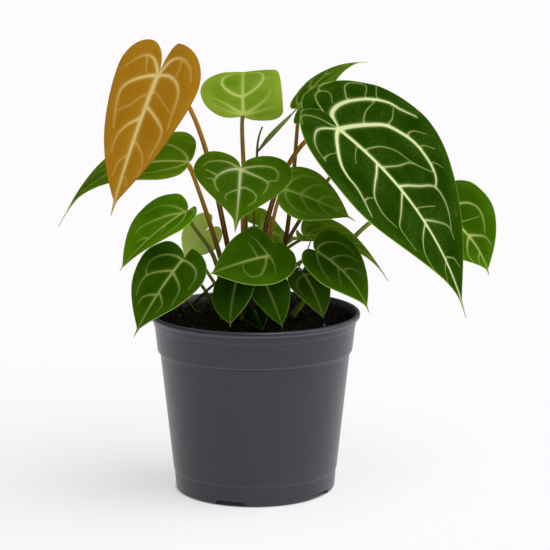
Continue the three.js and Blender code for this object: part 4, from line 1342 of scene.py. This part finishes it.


# %% [markdown]
# The veins are masks made from the stored distances. Their edges fray a little into the
# green, and a strong vein has a faint halo. Along the margin runs a thin line: on the green
# blades a pale painted highlight, where the edge catches the light, and on the bronze blade a
# darker brown.

# %% The drawn veins and the margin
def vein_masks(finish, grain, fray, soft):
    """The vein itself, as much of it as is drawn, and its halo. soft is how wide, in mm, the
    vein's edge is, and fray how far the grain moves it."""
    half, beyond = finish.field("vein_half"), finish.field("vein_edge")
    strength = finish.field("vein_strength")
    frayed = abs(finish.field("vein_offset")) - half + (grain - 0.5) * fray
    body = finish.ramp(frayed, soft, -0.15) * finish.ramp(beyond, 1.2, 0.7)
    drawn = body * (strength * 1.15) * finish.ramp(half, 0.05, 0.5, (0.3, 1.0))
    drawn = drawn * finish.ramp(finish.field("under"), 0.9, 0.3, (0.5, 1.0))
    halo = finish.ramp(beyond, 1.0 + soft * 1.5, 0.0) * finish.ramp(half, 0.05, 0.4) * strength
    return body, drawn, halo


def margin_mask(finish):
    """A hair-thin line on the upper face and a stronger one on the edge itself, where under
    is a half: the painted highlight along the green blades' edges. Leaves with faint veins have
    a faint margin too."""
    line = finish.ramp(finish.field("rim"), 0.42, 0.08) * 0.3
    line = line + finish.ramp(abs(finish.field("under") - 0.5), 0.3, 0.1) * 0.6
    return line * finish.ramp(finish.field("vein_strength"), 0.1, 0.6, (0.3, 1.0))


# %% [markdown]
# The layers go on from the bottom up: flesh, the net of the smallest veins, halo, veins,
# margin, which on the green blades is a painted highlight, and the tip, which has dried
# brown. A faint vein keeps some of the leaf's green and a strong one is cream. The velvet
# skin swallows light, so it has almost no shine.

# %% The recipe for a blade
NET_SCALE = 0.36  # meshes of the smallest veins in a millimetre


def blade_finish(name, scale, faint_vein, strong_vein, margin, fray=0.25, soft=0.6):
    """Every layer laid over the one below by its mask. The relief is grain, a finer noise,
    and the net sunk into the flesh."""
    finish = new_material(name)
    flat = finish.field("flat", vector=True)
    patches = finish.noise(finish.place(), 55, 3, 0.55)
    grain = finish.noise(flat, 2.6, 2, 0.6)
    cells = {"Vector": flat, "Scale": NET_SCALE}
    walls = finish.node("ShaderNodeTexVoronoi", {"feature": "DISTANCE_TO_EDGE"}, cells)
    net = finish.ramp(walls, 0.1, 0.01) * finish.ramp(patches, 0.35, 0.65)
    vein, drawn, halo = vein_masks(finish, grain, fray, soft)
    strength = finish.field("vein_strength")
    cream = finish.ramp(strength, 0.86, 1.0) * finish.ramp(finish.field("vein_half"), 0.06, 0.32)
    vein_colour = finish.mix(cream, faint_vein, strong_vein)
    layers = flesh_colour(finish, scale, patches, grain)
    layers = finish.mix(net * strength * 0.035, layers, vein_colour)
    layers = finish.mix(halo * 0.22, layers, vein_colour)
    layers = finish.mix(drawn, layers, vein_colour)
    # the margin: a pale painted highlight on the green blades
    layers = finish.mix(margin_mask(finish), layers, margin)
    dry_tip = finish.ramp(finish.field("along"), 0.965, 0.995) * 0.6
    height = net * -0.4 + grain * 0.35 + finish.noise(flat, 12, 2) * 0.25
    return finish.surface(
        Base_Color=finish.mix(dry_tip, layers, "#8a6a2c"),
        Roughness=0.48 + grain * 0.12 - vein * 0.06 + finish.field("under") * 0.1,
        Normal=finish.bump(height, 0.05),
        Specular_IOR_Level=0.0,
    )


# %% Velvet green, lush green and bronze
# The pale edge colour is the painted highlight along the green blades' margins.
CREAM, MARGIN_HIGHLIGHT = "#d6dfa0", "#c0da6c"
SKINS = {
    "velvet": blade_finish("velvet_green_blade", GREENS, "#cbda76", CREAM, MARGIN_HIGHLIGHT),
    "bronze": blade_finish("bronze_blade", BRONZES, "#f2ce70", "#ffe48c", "#9c6a18", 0.3, 1.0),
    "lush": blade_finish("lush_green_blade", LUSH_GREENS, "#dcf07c", CREAM, MARGIN_HIGHLIGHT),
}

# %% Make every blade
for name, leaf in LEAVES.items():
    skin, slot = SKINS[leaf["skin"]], f"blade_{leaf['tone']}"
    add_piece(f"leaf_{name}", blade_mesh(name, leaf), skin, slot, f"{name}_blade")

# %% [markdown]
# ## Leaf stems
#
# A petiole is round, thicker at the soil, with a shallow groove along one side. Just below
# the blade it swells into a short joint, by which the living leaf turns to the light. The
# tall ones are flushed brown and the low ones olive, often changing on the way up, so each
# point stores how brown it is.

# %% The skin of a stem
def stem_finish():
    """Olive or rust, with painted shade down one side and painted highlights in two lines on the other;
    on a leaf stem these lines are the lips of its groove, which faces the lamps.
    """
    finish = new_material("leaf_stem_skin")
    skin = finish.field("skin", vector=True)
    streaks = finish.noise(finish.drawn_out(skin, (1.6, 1.6, 0.02)), 2.0, 4, 0.6)
    fine = finish.noise(finish.drawn_out(skin, (4, 4, 0.35)), 3.0, 2)
    up, brown, facing = finish.field("up"), finish.field("brown"), finish.part(skin, "X")
    olive = finish.mix(finish.ramp(streaks, 0.35, 0.7), "#55640d", "#9aa23c")
    rust = finish.mix(finish.ramp(up, 0.15, 0.85), "#562b02", "#bd8616")
    rust = finish.mix(finish.ramp(streaks, 0.38, 0.68) * 0.4, rust, "#6b4212")
    body = finish.mix(finish.ramp(brown + (streaks - 0.5) * 0.5, 0.25, 0.75), olive, rust)
    # painted shade on the side away from the lamps
    body = finish.mix(finish.ramp(facing, 0.2, -0.5) * 0.5, body, "#2a1803")
    # painted highlights beside the groove, on the side towards the lamps
    groove_highlights = finish.ramp(abs(facing - 0.8), 0.12, 0.03)
    body = finish.mix(groove_highlights * (finish.ramp(streaks, 0.3, 0.6) * 0.25 + 0.2), body, "#d9bb7c")
    return finish.surface(
        Base_Color=body,
        Roughness=0.34 + fine * 0.16,
        Normal=finish.bump(fine + streaks, 0.05),
        Specular_IOR_Level=0.05,
    )


STEM_SKIN = stem_finish()


# %% The shape of a leaf stem
ROOT_HEIGHT = 90.0
SWELL, SWELL_AT, SWELL_REACH = 0.22, 0.955, 0.022  # the joint below the blade
FOOT, FOOT_REACH = 0.3, 0.07  # the thickening at the soil
GROOVE = 0.13
STEM_TAPER = 0.33


def petiole_path(leaf):
    """From the root in the soil to the back of the blade, square to the blade at its end."""
    joint, along, _, face, _ = leaf_frame(leaf)
    normal = unit(face - 4 * leaf["arch"] * along)
    end = joint - normal * (THICKNESS / 2 + 0.3 * leaf["stalk"])
    return [(*leaf["root"], ROOT_HEIGHT), leaf["rise"], leaf["reach"], end]


def petiole_radius(leaf):
    """Thicker at its foot, thins by a third on the way up, swells by a fifth below the
    blade and rounds off. A groove takes an eighth off one side."""

    def radius(u, angle):
        swell = SWELL * np.exp(-(((u - SWELL_AT) / SWELL_REACH) ** 2))
        foot = FOOT * np.exp(-((np.maximum(u - 0.02, 0) / FOOT_REACH) ** 2))
        end = np.sqrt(np.clip((1.012 - u) / 0.03, 0.12, 1))
        groove = 1 - GROOVE * np.maximum(np.cos(angle), 0) ** 6
        return leaf["stalk"] * (1 - STEM_TAPER * u + swell + foot) * end * groove

    return radius


# %% Make every leaf stem
# so that the stems' painted highlights lie on the lit side and their painted shade on the other
GROOVE_SIDE = np.array([0.62, -0.76, 0.2])  # the grooves all face the brighter side of the room
for name, leaf in LEAVES.items():
    shape = petiole_path(leaf), petiole_radius(leaf)
    points, faces, up, skin = tube(*shape, steps=90, around=18, steady=GROOVE_SIDE)
    low, high = leaf["brown"]
    fields = {"up": up, "brown": low + (high - low) * up, "skin": skin}
    slot = "petiole_brown" if max(low, high) > 0.5 else "petiole_olive"
    mesh = make_mesh("stem_" + name, points, faces, fields)
    add_piece(f"stem_{name}", mesh, STEM_SKIN, slot, f"{name}_petiole")

# %% [markdown]
# ## The leaf that is still rolled
#
# A new leaf comes up rolled like an umbrella, out of a thin sheath. The roll is a tube whose
# radius steps down once on the way round, along a line that winds slowly up it: that step is
# the outer edge of the blade. Its slim stalk and the sheath beside it are darker.

# %% Roll, stalk and sheath
YOUNG_STALK = [(-1, -9, ROOT_HEIGHT), (1, -11, 130.9), (-2, -10, 160.9), (1.4, -11, 194.4)]
SHEATH = [(1.3, -11, 190.9), (1.5, -11, 197.9), (1.5, -11.5, 202.9), (4.5, -12, 209.4)]
ROLL = [(1.9, -10.9, 195.3), (9, -9, 204.9), (16, -5, 209.9), (27, 0, 221.9)]
ROLL_WIDTH = 1.4  # half the width of the roll at its thickest
LAYER = 0.16  # the step at the outer edge, as a share of that
WINDING = 1.1  # turns of the outer edge round the roll


def roll_radius(u, angle):
    """A spindle, 0.3 + 0.7 sin ** 0.8 of the way, times a step that winds about once round
    the roll, times a root that rounds off the tip."""
    spindle = ROLL_WIDTH * (0.3 + 0.7 * np.sin(math.pi * np.minimum(u * 1.25, 1)) ** 0.8)
    winding = np.mod(angle / (2 * math.pi) - WINDING * u, 1)
    return spindle * (1 + LAYER * (winding - 0.5)) * np.sqrt(np.clip((1 - u) / 0.04, 0.1, 1))


def stem_like(name, path, radius, brown):
    """A tube with what the stem's skin has to know, all over as brown as brown says."""
    points, faces, up, skin = tube(path, radius, steps=70)
    fields = {"up": up, "brown": np.full(len(up), brown), "skin": skin}
    return make_mesh(name, points, faces, fields)


# %% The roll's finish
def roll_finish():
    """Soft yellow-green with the pressed lines of the folded veins."""
    finish = new_material("rolled_leaf_skin")
    skin = finish.field("skin", vector=True)
    streaks = finish.noise(finish.drawn_out(skin, (2.5, 2.5, 0.05)), 2.0, 3)
    spots = finish.noise(skin, 1.2, 2)
    upper = finish.ramp(finish.field("up") + (spots - 0.5) * 0.4, 0.1, 0.8)
    body = finish.mix(upper, "#506f12", "#869e38")
    body = finish.mix(finish.ramp(streaks, 0.5, 0.72) * 0.6, body, "#b9c670")
    return finish.surface(
        Base_Color=body,
        Roughness=0.45 + spots * 0.15,
        Normal=finish.bump(streaks, 0.12),
        Specular_IOR_Level=0.3,
    )


# %% Make the three
YOUNG_TAPER = 0.4
young = stem_like("young_stem", YOUNG_STALK, tapered(0.9, YOUNG_TAPER), 0.35)
roll = stem_like("young_roll", ROLL, roll_radius, 0.0)
sheath = stem_like("young_sheath", SHEATH, tapered(0.75, YOUNG_TAPER), 0.3)
add_piece("young_stem", young, STEM_SKIN, "sheath", "young_stalk")
add_piece("young_roll", roll, roll_finish(), "blade_pale", "young_leaf")
add_piece("young_sheath", sheath, STEM_SKIN, "sheath")

# %% [markdown]
# Four stems whose leaves have gone lean over the soil. They are dull and dry. The left one
# has withered along its middle, so its section is a figure of eight.

# %% Old stems
OLD_STEMS = {
    "left": dict(
        path=[(-32.5, 19.5, 93.9), (-35.5, 15, 100.9), (-38.5, 11, 105.9), (-44, 2, 112.9)],
        width=0.85, pinched=0.55, brown=0.15,
    ),
    "back": dict(
        path=[(-39, 37, 94.9), (-35.5, 31, 101.9), (-26, 17.5, 112.9), (-19, 6, 120.4)],
        width=1, pinched=0.15, brown=0.15,
    ),
    "right": dict(
        path=[(30, 12, 93.9), (26.5, 10, 101.9), (21.5, 7, 108.4), (16, 1, 121.9)],
        width=0.6, pinched=0.15, brown=0.15,
    ),
    "thin": dict(
        path=[(14.5, 6.5, 93.9), (15, 6, 117.9), (27, 8.7, 123.9), (32, 14, 141.1)],
        width=0.5, pinched=0.15, brown=0.85,
    ),
}
OLD_TAPER = 0.2


def withered(width, pinched):
    """A tapered section times 1 - pinched sin squared a, which draws in two sides."""
    full = tapered(width, OLD_TAPER)
    return lambda u, angle: full(u, angle) * (1 - pinched * np.sin(angle) ** 2)


for side, old in OLD_STEMS.items():
    section_at = withered(old["width"], old["pinched"])
    bare = stem_like(f"old_stem_{side}", old["path"], section_at, old["brown"])
    slot = "petiole_brown" if old["brown"] > 0.5 else "petiole_olive"
    add_piece(f"old_stem_{side}", bare, STEM_SKIN, slot, f"old_stalk_{side}")

# %% [markdown]
# ## Floor and light
#
# The plant stands on a wide sheet of white paper, which gives off a little light of its own
# so that it stays white. Under the pot and just round its foot that glow is painted dark, as
# a contact shadow. The sky is an even white, which fills the shadows. Two broad lamps on the
# right, one high and a little in front, one low, give the leaves their form and the pot its
# soft shadow on the left.

# %% White floor
REACH = 10.0  # metres from the middle to each side
floor_mesh = bpy.data.meshes.new("floor")
corners = [(-REACH, -REACH, 0), (REACH, -REACH, 0), (REACH, REACH, 0), (-REACH, REACH, 0)]
floor_mesh.from_pydata(corners, [], [(0, 1, 2, 3)])
floor = placed("floor", floor_mesh)
paper = new_material("white_paper")
place = paper.place()
from_pot = paper.length(place + (0.0006, 0, 0))
floor_mesh.materials.append(paper.surface(
    Base_Color=paper.mix(paper.noise(place, 400, 2), "#adabb1", "#b0aeb4"),
    Roughness=0.95,
    Specular_IOR_Level=0.0,
    # painted contact shadow: the paper's glow goes dark under the pot and fades out just round its foot,
    # a little wider on the left
    Emission_Color=paper.mix(paper.ramp(from_pot, 0.0435, 0.0466), "#2a2726", "#fffdfb"),
    Emission_Strength=0.63,
))

# %% Even sky
world = bpy.data.worlds.new("even_sky")
bpy.context.scene.world = world
sky = Finish(world)
glow = sky.node("ShaderNodeBackground", {}, {"Color": (1.0, 1.0, 1.0, 1.0), "Strength": 0.18})
sky.node("ShaderNodeOutputWorld", {}, {"Surface": glow})
bpy.context.scene.view_settings.view_transform = "Standard"


# %% Soft lamps
def soft_sun(name, direction, strength, spread):
    """A lamp without a place: direction points from the plant to it, spread in degrees."""
    light = bpy.data.lights.new(name, "SUN")
    light.energy, light.angle = strength, math.radians(spread)
    lamp = placed(name, light)
    lamp.rotation_euler = Vector(direction).to_track_quat("Z", "Y").to_euler()
    return lamp


lamps = [
    soft_sun("key_sun", (1.0, -0.3, 1.4), 2.15, 75),
    soft_sun("side_sun", (1.0, 0.15, 0.1), 1.6, 80),
]

# %% [markdown]
# ## Sizes
#
# How many pieces and triangles the finished plant has, and which piece is the largest.

# %% Sizes
total = sum(made.values())
print("pieces:", len(made), "triangles:", total, "largest:", max(made, key=made.get))
